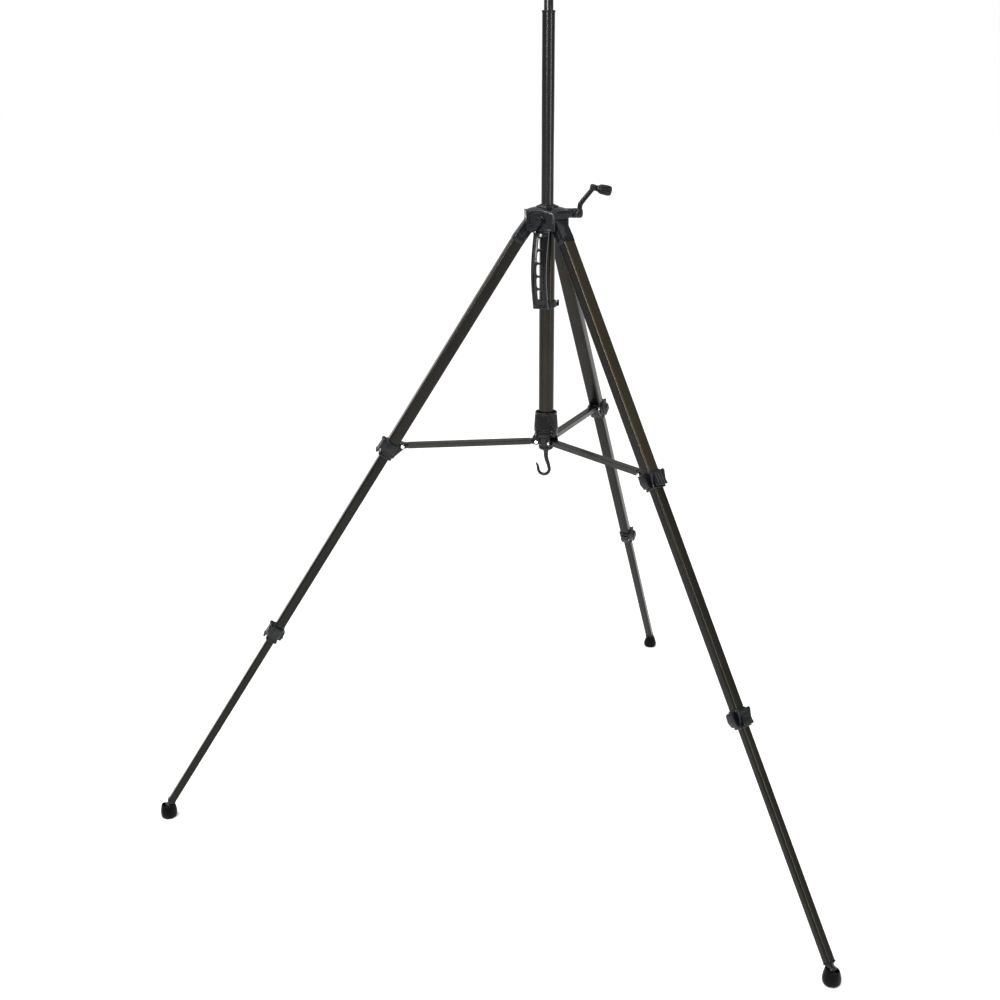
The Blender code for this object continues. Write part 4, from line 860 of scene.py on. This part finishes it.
def studio():
    """A white floor, soft light from all round, and three softboxes for the highlights."""
    bm = bmesh.new()
    bmesh.ops.create_grid(bm, x_segments=1, y_segments=1, size=40)
    floor = from_bmesh(bm)
    floor.name = "studio_floor"
    paper = bpy.data.materials.new("studio_paper")
    paper.use_nodes = True
    shader = paper.node_tree.nodes["Principled BSDF"]
    shader.inputs["Base Color"].default_value = (0.93, 0.93, 0.93, 1)
    shader.inputs["Roughness"].default_value = 1.0
    shader.inputs["Specular IOR Level"].default_value = 0.0
    floor.data.materials.append(paper)

    bpy.context.scene.view_settings.view_transform = "Standard"
    world = bpy.data.worlds.new("studio_world")
    bpy.context.scene.world = world
    world.use_nodes = True
    tree = world.node_tree
    surroundings = tree.nodes["Background"]
    surroundings.inputs["Strength"].default_value = WORLD_LIGHT
    paper_white = tree.nodes.new("ShaderNodeBackground")
    for background in (surroundings, paper_white):
        background.inputs["Color"].default_value = (1, 1, 1, 1)
    seen = tree.nodes.new("ShaderNodeLightPath")
    either = tree.nodes.new("ShaderNodeMixShader")
    tree.links.new(seen.outputs["Is Camera Ray"], either.inputs["Fac"])
    tree.links.new(surroundings.outputs["Background"], either.inputs[1])
    tree.links.new(paper_white.outputs["Background"], either.inputs[2])
    tree.links.new(either.outputs["Shader"], tree.nodes["World Output"].inputs["Surface"])

    sun = bpy.data.lights.new("ceiling_light", "SUN")
    sun.energy = CEILING_LIGHT
    sun.angle = radians(100)
    ceiling = bpy.data.objects.new("ceiling_light", sun)
    bpy.context.scene.collection.objects.link(ceiling)
    ceiling.rotation_euler = (radians(12), radians(-10), 0)

    for name, place, aim, size, power, tint in SOFTBOXES:
        lamp = bpy.data.lights.new(name, "AREA")
        lamp.shape = "RECTANGLE"
        lamp.size, lamp.size_y = size
        lamp.energy = power
        lamp.color = tint
        holder = bpy.data.objects.new(name, lamp)
        bpy.context.scene.collection.objects.link(holder)
        holder.location = place
        holder.rotation_mode = "QUATERNION"
        holder.rotation_quaternion = (Vector(aim) - Vector(place)).to_track_quat("-Z", "Y")


def camera():
    """Looks down at the hub, turned 21 degrees about the axis, with a hair of roll and a shifted frame."""
    spin = Matrix.Rotation(CAMERA_TURN, 3, "Z")
    forward = Vector((0, cos(CAMERA_PITCH), -sin(CAMERA_PITCH)))
    right = Vector((1, 0, 0))
    up = right.cross(forward)
    side = right * cos(CAMERA_ROLL) + up * sin(CAMERA_ROLL)
    top = up * cos(CAMERA_ROLL) - right * sin(CAMERA_ROLL)
    eye = Vector((0, 0, CAMERA_AIM_Z)) - forward * CAMERA_DISTANCE
    basis = Matrix((spin @ side, spin @ top, spin @ -forward)).transposed().to_4x4()
    basis.translation = spin @ eye + Vector((0, AXIS_Y * 0.001, 0))
    data = bpy.data.cameras.new("picture_camera")
    data.sensor_width = SENSOR
    data.lens = LENS
    data.shift_x, data.shift_y = SHIFT_X, SHIFT_Y
    data.clip_start, data.clip_end = 0.05, 200
    holder = bpy.data.objects.new("picture_camera", data)
    bpy.context.scene.collection.objects.link(holder)
    holder.matrix_world = basis
    bpy.context.scene.camera = holder


legs()
lever("upper_flip_lever",
      clamp("upper_collar", UPPER_CLAMP, UPPER, MIDDLE, "leg_*", "upper_clamp_*", True),
      "upper_flip_*", "upper_lever_*")
lever("lower_flip_lever",
      clamp("lower_collar", LOWER_CLAMP, MIDDLE, LOWER, "leg_*_middle", "lower_clamp_*", False),
      "lower_flip_*", "lower_lever_*")
struts()
hub()
hook()
guide()
crown()
lock()
column()
crank()
handle()
for node_name in ("column_rack", "pinion_shaft"):
    node_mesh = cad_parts[node_name].data
    node_mesh.materials.clear()
    node_mesh.materials.append(STEEL)
studio()
camera()
